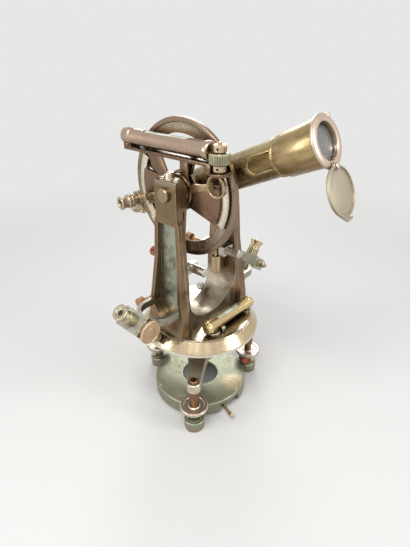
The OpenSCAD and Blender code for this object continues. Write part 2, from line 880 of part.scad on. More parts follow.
module verniers() {
    color("silver")
        circle_plane(arc_x)
            for (s = [0, 1])
                mirror([s, 0, 0]) sector(vernier_out, vernier_in, arc_low, arc_high, 1.4);
}

module level_carrier() {
    color("tan")
        difference() {
            union() {
                translate([frame_x, level_y0 - 3, strip_z]) cube([level_x + 6 - frame_x, level_y1 - level_y0 + 17, strip_t]);
                translate([level_x - 6.5, level_y0 - 3, strip_z]) cube([13, 12, level_z - strip_z]);
            }
            translate([level_x, -100, level_z]) along_y() cylinder(r = level_r, h = 200);
        }
}

module level_tube() {
    color("rosybrown")
        difference() {
            union() {
                translate([level_x, level_y0, level_z]) along_y()
                    turned([[0, -6], [level_r - 2, -6], [level_r - 1, -5], [level_r - 1, 0], [level_r, 0],
                        [level_r, 6], [level_r - 0.7, 6.7], [level_r - 0.7, level_y1 - level_y0 - 6.7],
                        [level_r, level_y1 - level_y0 - 6], [level_r, level_y1 - level_y0], [0, level_y1 - level_y0]]);
                translate([level_x - 4, level_y1 - 1, level_z - 5]) cube([8, 14, 9]);
            }
            translate([level_x, level_y0 + 4, level_z]) along_y() cylinder(r = level_r - 2, h = level_y1 - level_y0 - 8);
            translate([level_x - 4.5, -40, level_z]) cube([9, 62, 20]);
            translate([level_x, level_y1 + 9, 0]) cylinder(r = 2 + run, h = 400, $fn = 32);
        }
}

module level_vial() {
    color("lightblue")
        translate([level_x, level_y0 + 5, level_z]) along_y()
            cylinder(r = level_r - 2 - run, h = level_y1 - level_y0 - 10);
}

module level_nuts() {
    color("peru")
        translate([level_x, level_y1 + 9, 0]) {
            translate([0, 0, strip_z + strip_t]) cylinder(r = 2, h = level_z + 11 - strip_z - strip_t, $fn = 32);
            for (z = [level_z - 11, level_z + 4])
                translate([0, 0, z])
                    difference() {
                        cylinder(r = 5, h = 6);
                        for (k = [0 : 1])
                            rotate([0, 0, 45 + 90 * k]) translate([0, 0, 3])
                                for (s = [0, 180])
                                    rotate([0, 0, s]) translate([3, 0, 0]) along_x() cylinder(r = 0.9, h = 5, $fn = 16);
                    }
        }
}

// A reading lens on its swinging arm
module magnifier(x, angle) {
    circle_plane(x)
        rotate([0, 0, angle])
            difference() {
                union() {
                    cylinder(r = 14.4, h = 1.1);
                    translate([12, -3.2, 0]) cube([mag_r - 7.5 - 12, 6.4, 1.1]);
                    translate([mag_r - 11.5, -3.2, 0]) cube([4, 6.4, 38 - x]);
                    translate([mag_r, 0, 34 - x]) cylinder(r = 8.5, h = 6);
                }
                translate([0, 0, -eps]) cylinder(r = 10 + run, h = 10);
                translate([mag_r, 0, 30 - x]) cylinder(r = 6.8, h = 6.5);
                translate([mag_r, 0, 38 - x]) cylinder(r = 6.8, h = 10);
            }
}

module magnifier_front() {
    color("tan") magnifier(frame_x + frame_t + gap, mag_angle);
}

module magnifier_rear() {
    color("tan") magnifier(frame_x + frame_t + gap + 1.4, 180 - mag_angle);
}

// Telescope

module trunnion_axis() {
    color("darkgoldenrod")
        difference() {
            circle_plane(0)
                turned([[0, -52], [trunnion_r - 0.8, -52], [trunnion_r, -51.2], [trunnion_r, -arm_x + gap],
                    [11, -arm_x + gap], [12.5, -tube_r - 1.5], [12.5, 0], [12.5, tube_r], [17, tube_r + 1.4],
                    [17, circle_x], [trunnion_r, circle_x], [trunnion_r, 51.2], [trunnion_r - 0.8, 52], [0, 52]]);
            scope() translate([0, 0, -200]) cylinder(r = tube_r, h = 400);
        }
}

module telescope_tube() {
    color("darkgoldenrod")
        scope()
            difference() {
                union() {
                    turned([[draw_r + run, tail_s], [draw_r + 2.2, tail_s], [draw_r + 3.4, tail_s + 2],
                        [tube_r - 3, -63], [tube_r - 2, -60], [tube_r, -59], [tube_r, 99.5],
                        [tube_r + 1.1, 100], [tube_r + 1.1, 101.3], [tube_r + 0.4, 102],
                        [tube_r + 0.4, 103.4], [tube_r + 1.3, 104], [tube_r + 1.3, 105.2],
                        [front_r, 112], [front_r, cell_s], [lens_r, cell_s], [lens_r, 112],
                        [tube_r - tube_t, 104], [tube_r - tube_t, -57], [draw_r + run, -61]]);
                    translate([0, pinion_y, pinion_s]) rotate([0, -90, 0])
                        translate([0, 0, tube_r - 5.3]) cylinder(r = 5, h = 6.3);
                    intersection() {
                        translate([tube_r - 2.2, 0, 93]) along_x()
                            linear_extrude(height = 3.2)
                                difference() {
                                    stadium(10, 6);
                                    stadium(10, 4.4);
                                }
                        cylinder(r = tube_r + 0.8, h = 98);
                    }
                }
                translate([0, pinion_y, pinion_s]) rotate([0, -90, 0]) cylinder(r = 2 + run, h = 40, $fn = 32);
            }
}

module stadium(half, r) {
    for (s = [-1, 1])
        translate([s * half, 0]) circle(r = r);
    square([2 * half, 2 * r], center = true);
}

module objective_cell() {
    color("rosybrown")
        scope() {
            translate([0, 0, cell_s])
                turned([[lens_r, 0], [cell_r - 1, 0], [cell_r, 1], [cell_r, cell_len - 1.4],
                    [cell_r - 0.6, cell_len], [lens_r + 1.6, cell_len], [lens_r, cell_len - 1.6]]);
            rotate([0, 0, -cap_turn])
                for (k = [-1, 1])
                    translate([0, k * pin_n, cell_s + cell_len])
                        cylinder(r = 1.2, h = cap_t + 1.2, $fn = 24);
            rotate([0, 0, -cap_turn])
                translate([0, pin_n, cap_s + cap_t + gap]) turned([[0, 0], [2.4, 0], [2.4, 0.8], [1.6, 1.4], [0, 1.4]]);
        }
}

module objective_lens() {
    color("lightblue")
        scope()
            translate([0, 0, cell_s - 6])
                turned([[0, 0.6], [lens_r - 3, 0.2], [lens_r - run, 0], [lens_r - run, 4], [lens_r - 3, 4.8], [0, 5.6]]);
}

module objective_cap() {
    color("tan")
        scope()
            rotate([0, 0, -cap_turn]) translate([0, pin_n, cap_s]) rotate([0, 0, cap_turn])
                difference() {
                    union() {
                        translate([0, pin_n, 0])
                            turned([[0, 0], [cap_r - 0.4, 0], [cap_r, 0.4], [cap_r, cap_t], [cap_r - 1.6, cap_t],
                                [cap_r - 1.6, cap_t - 0.6], [0, cap_t - 0.6]]);
                        cylinder(r = 3.4, h = cap_t);
                        translate([-3.6, pin_n + 10, 0]) cube([7.2, pin_n - 9.8, cap_t - 0.6]);
                        translate([0, 2 * pin_n + 0.2, 0]) cylinder(r = 3.6, h = cap_t - 0.6);
                    }
                    translate([0, 0, -eps]) cylinder(r = 1.2 + run, h = 10, $fn = 24);
                    translate([0, 0, -eps]) sector(2 * pin_n + 1.5, 2 * pin_n - 1.5, 87.8, 130, 10);
                }
}

module vertical_circle() {
    color("tan")
        circle_plane(circle_x)
            difference() {
                union() {
                    turned([[circle_in, 0], [circle_r - 0.8, 0], [circle_r, 0.8], [circle_r, circle_t - 0.4],
                        [circle_r - 0.4, circle_t], [circle_in + 1, circle_t], [circle_in, circle_t - 1]]);
                    cylinder(r = 20, h = circle_t - 1);
                    for (k = [0 : 3])
                        rotate([0, 0, rest_tilt + 26 + 90 * k])
                            translate([10, -spoke_w / 2, 0.8]) cube([circle_in - 9, spoke_w, 3]);
                }
                translate([0, 0, -eps]) cylinder(r = trunnion_r + run, h = 20);
            }
}

module eye_draw_tube() {
    color("goldenrod")
        scope()
            turned([[5.65, collar_s - 8], [8.7, collar_s - 8], [8.7, collar_s], [draw_r, collar_s],
                [draw_r, -36], [5.65, -36]]);
}

module eyepiece() {
    color("goldenrod")
        scope()
            turned([[0, -eye_reach + 2], [4.5, -eye_reach + 2], [7.5, -eye_reach], [9.5, -eye_reach],
                [9.5, -eye_reach + 2], [8, -eye_reach + 6], [8, collar_s - 14], [7, collar_s - 13],
                [5.6, collar_s - 13], [5.6, collar_s + 8], [0, collar_s + 8]]);
}

module focus_knob() {
    color("goldenrod")
        scope()
            translate([0, pinion_y, pinion_s]) rotate([0, -90, 0]) {
                translate([0, 0, -3]) cylinder(r = pinion_r, h = 6);
                cylinder(r = 2, h = tube_r + 1.7, $fn = 32);
                translate([0, 0, tube_r + 1 + gap]) knurled(7, 5.4, 24);
            }
}

foot_pads();
base_plate();
base_cover();
base_screws();
foot_keepers();
tribrach();
lower_clamp_collar();
lock_ring();
lock_lever();
foot_screw_a();
foot_wheel_a();
foot_screw_b();
foot_wheel_b();
foot_screw_c();
foot_wheel_c();
base_lock_knob();
lower_clamp_knob();
lower_tangent_screw();
limb_spindle();
horizontal_circle();
upper_plate();
alidade_spindle();
standards();
trunnion_caps();
cap_screws();
plate_level_tube();
plate_level_vial();
plate_level_mounts();
microscope_brackets();
microscope_tubes();
micrometer_boxes();
spring_caps();
micrometer_drum_a();
micrometer_drum_b();
microscope_eyepiece_a();
microscope_eyepiece_b();
upper_tangent_bracket();
upper_tangent_screw();
clip_brackets();
index_screw();
index_frame();
verniers();
level_carrier();
level_tube();
level_vial();
level_nuts();
magnifier_front();
magnifier_rear();
vertical_arm();
vertical_clamp_knob();
vertical_tangent_screw();
trunnion_axis();
telescope_tube();
objective_cell();
objective_lens();
vertical_circle();
objective_cap();
eye_draw_tube();
eyepiece();
focus_knob();
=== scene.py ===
import math

import bpy
from mathutils import Matrix, Vector


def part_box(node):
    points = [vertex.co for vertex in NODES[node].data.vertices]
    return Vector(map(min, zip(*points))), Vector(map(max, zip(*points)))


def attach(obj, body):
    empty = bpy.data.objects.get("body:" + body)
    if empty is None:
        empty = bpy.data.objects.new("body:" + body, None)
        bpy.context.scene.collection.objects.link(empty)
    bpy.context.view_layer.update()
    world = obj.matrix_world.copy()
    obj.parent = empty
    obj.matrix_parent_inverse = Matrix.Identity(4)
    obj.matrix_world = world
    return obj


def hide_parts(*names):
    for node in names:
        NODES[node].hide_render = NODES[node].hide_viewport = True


bl_info = {
    "name": "Micrometer theodolite",
    "version": (1, 0, 0),
    "blender": (4, 5, 0),
    "location": "View3D > Sidebar > Theodolite",
    "description": "Finishes and fine pieces of a brass theodolite, with its stage",
    "category": "Object",
}

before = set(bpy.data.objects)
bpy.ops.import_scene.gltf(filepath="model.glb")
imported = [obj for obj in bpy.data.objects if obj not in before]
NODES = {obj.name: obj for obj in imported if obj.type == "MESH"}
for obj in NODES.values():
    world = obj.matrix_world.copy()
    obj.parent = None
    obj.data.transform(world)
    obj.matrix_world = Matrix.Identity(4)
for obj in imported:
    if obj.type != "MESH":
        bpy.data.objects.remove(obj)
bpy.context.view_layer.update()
MM = 0.001

# Places in millimetres from the ground below the vertical axis, x towards the altitude level
AXIS_Z = 274.2
TILT = math.radians(24)
WHEEL_X = 19.7
FACE_X = 24.7
VERNIER_X = 25
HUB_X = 26.7
RING_X = 30.35
READER_X = 31.55
LEVEL_X = 35
LEVEL_Z = 320
NUT_Y = 57
PLATE_LEVEL_Y = 40
PLATE_Z = 118
EYE_X = 114
EYE_Z = 173

# Places in millimetres along or across the telescope, the reading lenses and the screws
HINGE = (1.73, 19.72)
CAP_Z = 148.4
READER_R = 54.1
READER_TURN = 198
RING_R = 58.6
RING_TURN = 16.7
SCREW_Y = 9.2

# Places in metres where one finish passes into another
BEVEL_TOP = (0.1163, 0.1168)
RECESS_INSIDE = (0.0436, 0.0438)
RECESS_OUTSIDE = (0.0445, 0.0443)
BOWL_TOP = (0.172, 0.150)
BOWL_SIDE = (0.0396, 0.0394)
WIDE_END = (0.106, 0.113)
CREAM_BAND = (0.0545, 0.0634)
FLOOR_FADE = (1.1, 0.35)

# Lengths in metres of the wear on the metals, and of the painted shade in their corners
WORN_EDGE = 0.0009
CORNER_DIRT_AND_SHADE = 0.009
EDGE_ROUND = 0.00035
SCRATCH_DEPTH = 0.00008

INK = (0.05, 0.04, 0.03)


# Sizes and colours


def colour(label, about, value):
    return bpy.props.FloatVectorProperty(
        name=label, description=about, subtype="COLOR", size=3, min=0, max=1, default=value
    )


class FinishColours(bpy.types.PropertyGroup):
    """Colours of the metals, their wear, their tarnished tones, and the painted shade on undersides and in
    corners
    """

    bright_brass: colour("Bright brass", "Polished yellow brass", (0.62, 0.50, 0.32))
    aged_brass: colour("Aged brass", "Brass under old lacquer", (0.36, 0.28, 0.17))
    olive_brass: colour("Olive brass", "Golden lacquer of the telescope", (0.45, 0.345, 0.165))
    pink_brass: colour("Pink brass", "Brass worn to a rose tone", (0.56, 0.44, 0.35))
    copper: colour("Copper tone", "Brass worn to a copper tone", (0.44, 0.24, 0.13))
    red_copper: colour("Red copper", "Knob faces", (0.42, 0.09, 0.05))
    bronze: colour("Dark bronze", "Brown bronzed castings", (0.21, 0.11, 0.055))
    olive_grey: colour("Olive grey", "Grey olive castings", (0.34, 0.30, 0.22))
    green_grey: colour("Green grey", "Verdigris on the base", (0.28, 0.29, 0.21))
    silver: colour("Silvered brass", "Reading surfaces", (0.74, 0.70, 0.60))
    steel: colour("Steel", "Bright steel pieces", (0.50, 0.49, 0.46))
    # Also painted shade: this colour darkens the undersides of the pieces, besides the real tarnished patches
    # and pits.
    tarnish_and_shade: colour("Tarnish", "Brown tarnish", (0.13, 0.075, 0.035))
    # Also painted shade: this colour darkens corners and crevices found by ambient occlusion, besides real
    # soiling.
    grime_and_shade: colour("Grime", "Dirt in the corners", (0.035, 0.024, 0.014))
    worn_edge: colour("Worn edge", "Bare metal on the edges", (0.74, 0.61, 0.42))


class StageSizes(bpy.types.PropertyGroup):
    """Camera and lamps"""

    lens: bpy.props.FloatProperty(
        name="Lens", description="Focal length of the camera", subtype="DISTANCE_CAMERA", default=26.26
    )
    lamp: bpy.props.FloatProperty(
        name="Lamps", description="Strength of the lamps", min=0, default=0.62
    )
    backdrop: colour("Backdrop", "Colour of the backdrop", (0.80, 0.80, 0.79))
    floor: colour("Floor", "Colour of the floor", (0.74, 0.73, 0.71))


def finishes():
    return bpy.context.scene.theodolite_finishes


def stage_sizes():
    return bpy.context.scene.theodolite_stage


# Material building


class Recipe:
    """A node tree that is written down in order"""

    def __init__(self, name):
        self.material = bpy.data.materials.new(name)
        self.material.use_nodes = True
        self.tree = self.material.node_tree
        self.shader = self.tree.nodes["Principled BSDF"]
        self.count = 0
        self.coords = self.add("ShaderNodeTexCoord")
        self.place = self.coords.outputs["Object"]

    def add(self, kind, **values):
        node = self.tree.nodes.new(kind)
        node.location = (-220 * (1 + self.count // 6), 260 - 170 * (self.count % 6))
        self.count += 1
        for key, value in values.items():
            setattr(node, key, value)
        return node

    def join(self, source, target):
        self.tree.links.new(source, target)

    def put(self, socket, value):
        if isinstance(value, str):
            value = tuple(getattr(finishes(), value))
        if isinstance(value, bpy.types.NodeSocket):
            self.join(value, socket)
        elif isinstance(value, tuple) and len(value) == 3 and len(socket.default_value) == 4:
            socket.default_value = (*value, 1)
        else:
            socket.default_value = value

    def fill(self, node, values):
        for key, value in values.items():
            self.put(node.inputs[key], value)

    def surface(self, values):
        self.fill(self.shader, values)

    def noise(self, scale, detail=4, rough=0.6, place=None, distort=0.0):
        node = self.add("ShaderNodeTexNoise")
        self.fill(node,
                  {"Scale": scale, "Detail": detail, "Roughness": rough, "Distortion": distort,
                   "Vector": place or self.place})
        return node.outputs["Fac"]

    def ramp(self, value, low, high, to_low=0.0, to_high=1.0):
        node = self.add("ShaderNodeMapRange", interpolation_type="SMOOTHSTEP")
        self.fill(node,
                  {"Value": value, "From Min": low, "From Max": high, "To Min": to_low, "To Max": to_high})
        return node.outputs["Result"]

    def math(self, kind, first, second=0.0, clamp=False):
        node = self.add("ShaderNodeMath", operation=kind, use_clamp=clamp)
        self.fill(node, {0: first, 1: second})
        return node.outputs[0]

    def plus(self, first, second):
        return self.math("ADD", first, second)

    def minus(self, first, second):
        return self.math("SUBTRACT", first, second)

    def times(self, first, second, clamp=False):
        return self.math("MULTIPLY", first, second, clamp)

    def mix(self, amount, first, second):
        node = self.add("ShaderNodeMix", data_type="RGBA")
        self.fill(node, {"Factor": amount, 6: first, 7: second})
        return node.outputs[2]

    def parts(self, vector=None):
        node = self.add("ShaderNodeSeparateXYZ")
        self.join(vector or self.place, node.inputs[0])
        return node.outputs

    def round_edges(self, radius):
        node = self.add("ShaderNodeBevel", samples=6)
        self.fill(node, {"Radius": radius})
        return node.outputs["Normal"]

    def edge_mask(self, radius):
        dot = self.add("ShaderNodeVectorMath", operation="DOT_PRODUCT")
        plain = self.add("ShaderNodeNewGeometry").outputs["Normal"]
        self.fill(dot, {0: self.round_edges(radius), 1: plain})
        return self.ramp(dot.outputs["Value"], 0.995, 0.86)

    # Painted shade: ambient occlusion finds the corners and crevices where shade falls.
    def crevice_shade_mask(self, distance):
        node = self.add("ShaderNodeAmbientOcclusion", samples=6)
        self.fill(node, {"Distance": distance})
        return self.ramp(node.outputs["AO"], 0.85, 0.25)

    def bump(self, height, strength, distance, normal):
        node = self.add("ShaderNodeBump")
        self.fill(node, {"Strength": strength, "Distance": distance, "Height": height, "Normal": normal})
        return node.outputs["Normal"]

    def between(self, value, low, high):
        return self.times(self.math("GREATER_THAN", value, low), self.math("LESS_THAN", value, high))


def aged_metal(name, base, second, rough=0.3, metallic=1.0, patch=45, blotch=0.5, wear=0.6, grime_and_shade=0.7,
               pit=0.25, zones=None):
    """Old brass: tarnished patches, worn edges, fine scratches, soiling mixed with painted shade in the
    corners, and painted shade on the undersides
    """
    spread = 0.16
    pitted = 0.35 * pit / 0.25
    made = Recipe(name)
    large = made.noise(patch, 5, 0.62, distort=0.4)
    small = made.noise(patch * 9, 6, 0.7)
    both = made.plus(made.times(small, 0.45), made.times(large, 0.75))
    stained = made.ramp(both, 0.60 - 0.22 * (blotch - 0.5), 0.86 - 0.30 * (blotch - 0.5))
    tone = made.mix(stained, base, second)
    if zones:
        tone = zones(made, tone, small)
    # Painted shade: faces that point downwards are darkened, mixed with random tarnished clouds.
    underside_shade = made.ramp(made.parts(made.coords.outputs["Normal"])[2], 0.15, -0.75)
    tarnish_and_underside_shade = made.ramp(made.plus(made.times(underside_shade, 0.45), made.noise(19, 3, 0.55)), 0.52, 0.98)
    tone = made.mix(made.times(tarnish_and_underside_shade, 0.75), tone, made.mix(0.68, tone, "tarnish_and_shade"))
    speck = made.ramp(made.noise(900, 2, 0.5), 0.66, 0.78)
    tone = made.mix(made.times(speck, pitted), tone, "tarnish_and_shade")
    # Painted shade mixed with soiling: corners and crevices are darkened by ambient occlusion, broken up by
    # noise.
    dirt_and_shade = made.times(made.crevice_shade_mask(CORNER_DIRT_AND_SHADE), made.ramp(small, 0.30, 0.62, 0.35, 1.0))
    tone = made.mix(made.times(dirt_and_shade, grime_and_shade, clamp=True), tone, "grime_and_shade")
    bare = made.times(made.edge_mask(WORN_EDGE), made.ramp(small, 0.36, 0.62))
    tone = made.mix(made.times(bare, wear, clamp=True), tone, "worn_edge")
    dull = made.plus(made.times(stained, spread),
                     made.ramp(small, 0.35, 0.7, rough - spread * 0.35, rough + spread * 0.5))
    scratches = made.noise(2600, 3, 0.6)
    relief = made.plus(made.times(small, 0.7), made.times(scratches, 0.1))
    normal = made.bump(relief, pitted, SCRATCH_DEPTH, made.round_edges(EDGE_ROUND))
    made.surface({"Base Color": tone, "Metallic": metallic, "Roughness": dull, "Normal": normal})
    return made.material


def glass(name, tint):
    """Clear old glass"""
    made = Recipe(name)
    shade = made.mix(made.ramp(made.noise(160, 3, 0.5), 0.4, 0.7), tint, tuple(0.9 * c for c in tint))
    made.surface({"Base Color": shade, "Transmission Weight": 0.85, "Roughness": 0.02, "IOR": 1.5})
    return made.material


def blackened(name):
    """Dull black, for the lining inside a tube and for the painted shade on the eye lenses"""
    made = Recipe(name)
    tone = made.mix(made.noise(300, 3), (0.012, 0.011, 0.010), (0.03, 0.027, 0.024))
    made.surface({"Base Color": tone, "Roughness": 0.55})
    return made.material


def vial_paint(name, middle, axis=1, size=1.0):
    """Pale fluid behind glass, with the bubble and the lines on each side of it"""
    made = Recipe(name)
    away = made.math("ABSOLUTE", made.minus(made.parts()[axis], middle * MM))
    away = made.math("DIVIDE", away, size)
    tone = made.mix(made.ramp(away, 0.0098, 0.0090), (0.66, 0.70, 0.50), (0.90, 0.92, 0.86))
    place = made.math("FRACT", made.math("DIVIDE", away, 0.0023))
    mark = made.times(made.math("LESS_THAN", place, 0.13), made.between(away, 0.0090, 0.0245))
    made.surface({"Base Color": made.mix(mark, tone, (0.06, 0.05, 0.04)), "Roughness": 0.06,
                  "Coat Weight": 1.0, "Coat Roughness": 0.02, "Transmission Weight": 0.25})
    return made.material


def dress(material, *names):
    for name in names:
        slots = NODES[name].data.materials
        slots.clear()
        slots.append(material)


# Places of the pieces, in millimetres


def frame_at(origin, x_axis, y_axis):
    """A turned and moved frame, from where it stands and two of its axes"""
    x_axis, y_axis = Vector(x_axis), Vector(y_axis)
    turn = Matrix((x_axis, y_axis, x_axis.cross(y_axis))).transposed().to_4x4()
    return Matrix.Translation(Vector(origin) * MM) @ turn


def along_telescope():
    """Local z towards the objective, local y downwards"""
    return frame_at((0, 0, AXIS_Z), (1, 0, 0), (0, math.sin(TILT), -math.cos(TILT)))


def on_circle(x):
    """Local x forwards, local y upwards, local z outwards from the vertical circle"""
    return frame_at((x, 0, AXIS_Z), (0, 1, 0), (0, 0, 1))


def along_level(height):
    return frame_at((LEVEL_X, 0, height), (1, 0, 0), (0, 0, -1))


def shift(x, y, z):
    return Matrix.Translation((x * MM, y * MM, z * MM))


def spin(degrees, axis="Z"):
    return Matrix.Rotation(math.radians(degrees), 4, axis)


def polar(radius, degrees):
    return radius * math.cos(math.radians(degrees)), radius * math.sin(math.radians(degrees))


def arc(radius, first, last, steps):
    return [polar(radius, first + (last - first) * k / steps) for k in range(steps + 1)]


def moved(points, x, y):
    return [(x + across, y + up) for across, up in points]


def oblong(left, low, right, high):
    return [(left, low), (right, low), (right, high), (left, high)]


# Modelling steps


def mode(kind):
    bpy.ops.object.mode_set(mode=kind)


def pick(*pieces):
    if bpy.context.mode != "OBJECT":
        mode("OBJECT")
    bpy.ops.object.select_all(action="DESELECT")
    for piece in pieces:
        piece.select_set(True)
        bpy.context.view_layer.objects.active = piece


def edit_points():
    """Edit mode with all points selected"""
    mode("EDIT")
    bpy.ops.mesh.select_mode(type="VERT")
    bpy.ops.mesh.select_all(action="SELECT")


def close_mesh(name):
    """Merges what meets, turns the normals outwards and leaves edit mode"""
    bpy.ops.mesh.select_all(action="SELECT")
    bpy.ops.mesh.remove_doubles(threshold=1e-6)
    bpy.ops.mesh.normals_make_consistent(inside=False)
    mode("OBJECT")
    piece = bpy.context.object
    piece.name = name
    return piece


def extrude(step):
    bpy.ops.mesh.extrude_region_move(TRANSFORM_OT_translate={"value": step})


def turned(name, profile, sides=96):
    """A ring is extruded and resized from point to point of a profile of radius and height"""
    pick()
    radius, height = profile[0]
    fill = "NOTHING" if profile[0] == profile[-1] else "NGON"
    bpy.ops.mesh.primitive_circle_add(vertices=sides, radius=radius * MM, location=(0, 0, height * MM),
                                      fill_type=fill)
    edit_points()
    for wide, high in profile[1:]:
        step = (0, 0, (high - height) * MM)
        extrude(step)
        grow = wide / radius
        bpy.ops.transform.resize(value=(grow, grow, 1), center_override=(0, 0, high * MM))
        radius, height = wide, high
    return close_mesh(name)


def draw_chain(points, start=(0, 0, 0)):
    """Edges from point to point, all selected in edit mode"""
    pick()
    bpy.ops.mesh.primitive_plane_add(size=MM, location=[value * MM for value in start])
    edit_points()
    bpy.ops.mesh.merge(type="CENTER")
    for number, point in enumerate(points):
        step = [(new - old) * MM for new, old in zip(point, start)]
        if number:
            extrude(step)
        else:
            bpy.ops.transform.translate(value=step)
        start = point
    bpy.ops.mesh.select_all(action="SELECT")


def plate(name, outline, thick):
    """An outline is drawn corner by corner, filled and extruded"""
    draw_chain([(x, y, 0) for x, y in outline])
    bpy.ops.mesh.edge_face_add()
    extrude((0, 0, thick * MM))
    return close_mesh(name)


def edit_faces(piece, test):
    """Edit mode with only the faces selected that pass the test"""
    mode("EDIT")
    bpy.ops.mesh.select_mode(type="FACE")
    bpy.ops.mesh.select_all(action="DESELECT")
    mode("OBJECT")
    for face in piece.data.polygons:
        face.select = test(face)
    mode("EDIT")


def cog(name, outer, inner, teeth, thick, chamfer=0.5):
    """A knurled disc with its ends chamfered"""
    outline = []
    for k in range(teeth):
        for part, radius in ((0.0, inner), (0.3, outer), (0.7, outer)):
            outline.append(polar(radius, 360 * (k + part) / teeth))
    piece = move(plate(name, outline, thick - 2 * chamfer), shift(0, 0, chamfer))
    for height in (chamfer * MM, (thick - chamfer) * MM):
        edit_faces(piece, lambda face: abs(face.normal.z) > 0.9 and abs(face.center.z - height) < 1e-5)
        bpy.ops.mesh.inset(thickness=chamfer * MM, depth=chamfer * MM)
        mode("OBJECT")
    return piece


def move(piece, matrix):
    pick(piece)
    piece.matrix_basis = matrix @ piece.matrix_basis
    bpy.ops.object.transform_apply(location=True, rotation=True, scale=True)
    return piece


def copied(piece, matrix):
    pick(piece)
    bpy.ops.object.duplicate(linked=False)
    return move(bpy.context.object, matrix)


def joined(name, *pieces):
    pick(*reversed(pieces))
    bpy.ops.object.join()
    bpy.context.object.name = name
    return bpy.context.object


def discard(*pieces):
    pick(*pieces)
    bpy.ops.object.delete()


def modified(piece, kind, **settings):
    """Adds a modifier to a picked piece and applies it"""
    bpy.ops.object.modifier_add(type=kind)
    modifier = piece.modifiers[-1]
    for key, value in settings.items():
        setattr(modifier, key, value)
    bpy.ops.object.modifier_apply(modifier=modifier.name)


def cut(piece, tool):
    """Takes the tool's form out of a piece"""
    pick(piece)
    modified(piece, "BOOLEAN", operation="DIFFERENCE", solver="EXACT", object=tool)
    discard(tool)
    return piece


def finished(piece, body, slot_name, material, soften, *stands_for):
    """Softens the edges, shades, dresses and seats a piece"""
    pick(piece)
    if soften:
        modified(piece, "BEVEL", width=soften * MM, segments=2, limit_method="ANGLE",
                 angle_limit=math.radians(35))
    bpy.ops.object.shade_smooth_by_angle(angle=math.radians(32))
    piece.data.materials.clear()
    piece.data.materials.append(material)
    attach(piece, body)
    if stands_for:
        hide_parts(*stands_for)
    return piece


def slotted_screw(name, radius, height):
    """A low round head with a cut slot"""
    head = turned(name, [
        (radius, 0), (radius, 0.55 * height), (0.8 * radius, 0.9 * height),
        (0.3 * radius, height)], sides=32)
    saw = plate("saw", oblong(-radius, -0.16 * radius, radius, 0.16 * radius), height)
    return cut(head, move(saw, shift(0, 0, 0.55 * height)))


# Graduations


def turn_about_axis(made):
    """Degrees and radius about the trunnion axis"""
    x, y, z = made.parts()
    up = made.minus(z, AXIS_Z * MM)
    degrees = made.math("DEGREES", made.math("ARCTAN2", up, y))
    return degrees, made.math("SQRT", made.plus(made.times(y, y), made.times(up, up)))


def scale_lines(made, degrees, radius, *rows):
    """1 on the lines, from two rows of step and width in degrees and of inner and outer radius"""
    marks = []
    for step, wide, low, high in rows:
        place = made.math("FRACT", made.plus(made.math("DIVIDE", degrees, step), 0.5))
        away = made.math("ABSOLUTE", made.minus(place, 0.5))
        on_line = made.math("LESS_THAN", away, 0.5 * wide / step)
        marks.append(made.times(on_line, made.between(radius, low, high)))
    return made.math("MAXIMUM", *marks)


# Patterns of single pieces


def brass_patch(made, tone, small):
    """A rubbed patch on the right of the cover"""
    spot = made.add("ShaderNodeVectorMath", operation="DISTANCE")
    made.join(made.place, spot.inputs[0])
    spot.inputs[1].default_value = (-0.014, 0.043, 0.020)
    reach = made.plus(spot.outputs["Value"], made.times(small, 0.016))
    return made.mix(made.ramp(reach, 0.027, 0.013, 0, 0.75), tone, "bright_brass")


def bevel_band(made, tone, small):
    """The bevel is polished bright, the flat top is grey olive"""
    z = made.parts()[2]
    olive = made.mix(made.ramp(small, 0.35, 0.65), (0.50, 0.43, 0.32), (0.30, 0.26, 0.19))
    return made.mix(made.ramp(z, *BEVEL_TOP), tone, olive)


def panel_and_bowl(made, tone, small):
    """Green grey recesses outside, a polished grey beige bowl inside, brown ribs"""
    x, y, z = made.parts()
    side = made.math("ABSOLUTE", x)
    recess = made.times(made.ramp(side, *RECESS_INSIDE), made.ramp(side, *RECESS_OUTSIDE))
    stain = made.ramp(made.noise(85, 5, 0.7), 0.42, 0.68)
    tone = made.mix(recess, tone, made.mix(stain, (0.38, 0.40, 0.32), (0.19, 0.16, 0.10)))
    low = made.ramp(z, *BOWL_TOP)
    inner = made.times(low, made.ramp(side, *BOWL_SIDE))
    stain = made.ramp(made.noise(60, 4, 0.6), 0.35, 0.7)
    return made.mix(inner, tone, made.mix(stain, (0.40, 0.36, 0.28), (0.24, 0.185, 0.125)))


def streaks(made, tone, small):
    """Rubbed streaks along the tube, and redder patches on its wide end"""
    x, y, z = made.parts()
    up = made.minus(z, AXIS_Z * MM)
    along = made.plus(made.times(y, math.cos(TILT)), made.times(up, math.sin(TILT)))
    over = made.minus(made.times(up, math.cos(TILT)), made.times(y, math.sin(TILT)))
    drawn = made.add("ShaderNodeCombineXYZ")
    for socket, value, scale in zip(drawn.inputs, (x, along, over), (230, 16, 230)):
        made.put(socket, made.times(value, scale))
    rubbed = made.ramp(made.noise(1, 4, 0.65, place=drawn.outputs[0]), 0.42, 0.66, 0, 0.75)
    tone = made.mix(rubbed, tone, (0.24, 0.165, 0.08))
    wide = made.times(made.ramp(along, *WIDE_END), made.ramp(made.noise(60, 3), 0.42, 0.62, 0, 0.6))
    return made.mix(wide, tone, (0.50, 0.34, 0.20))


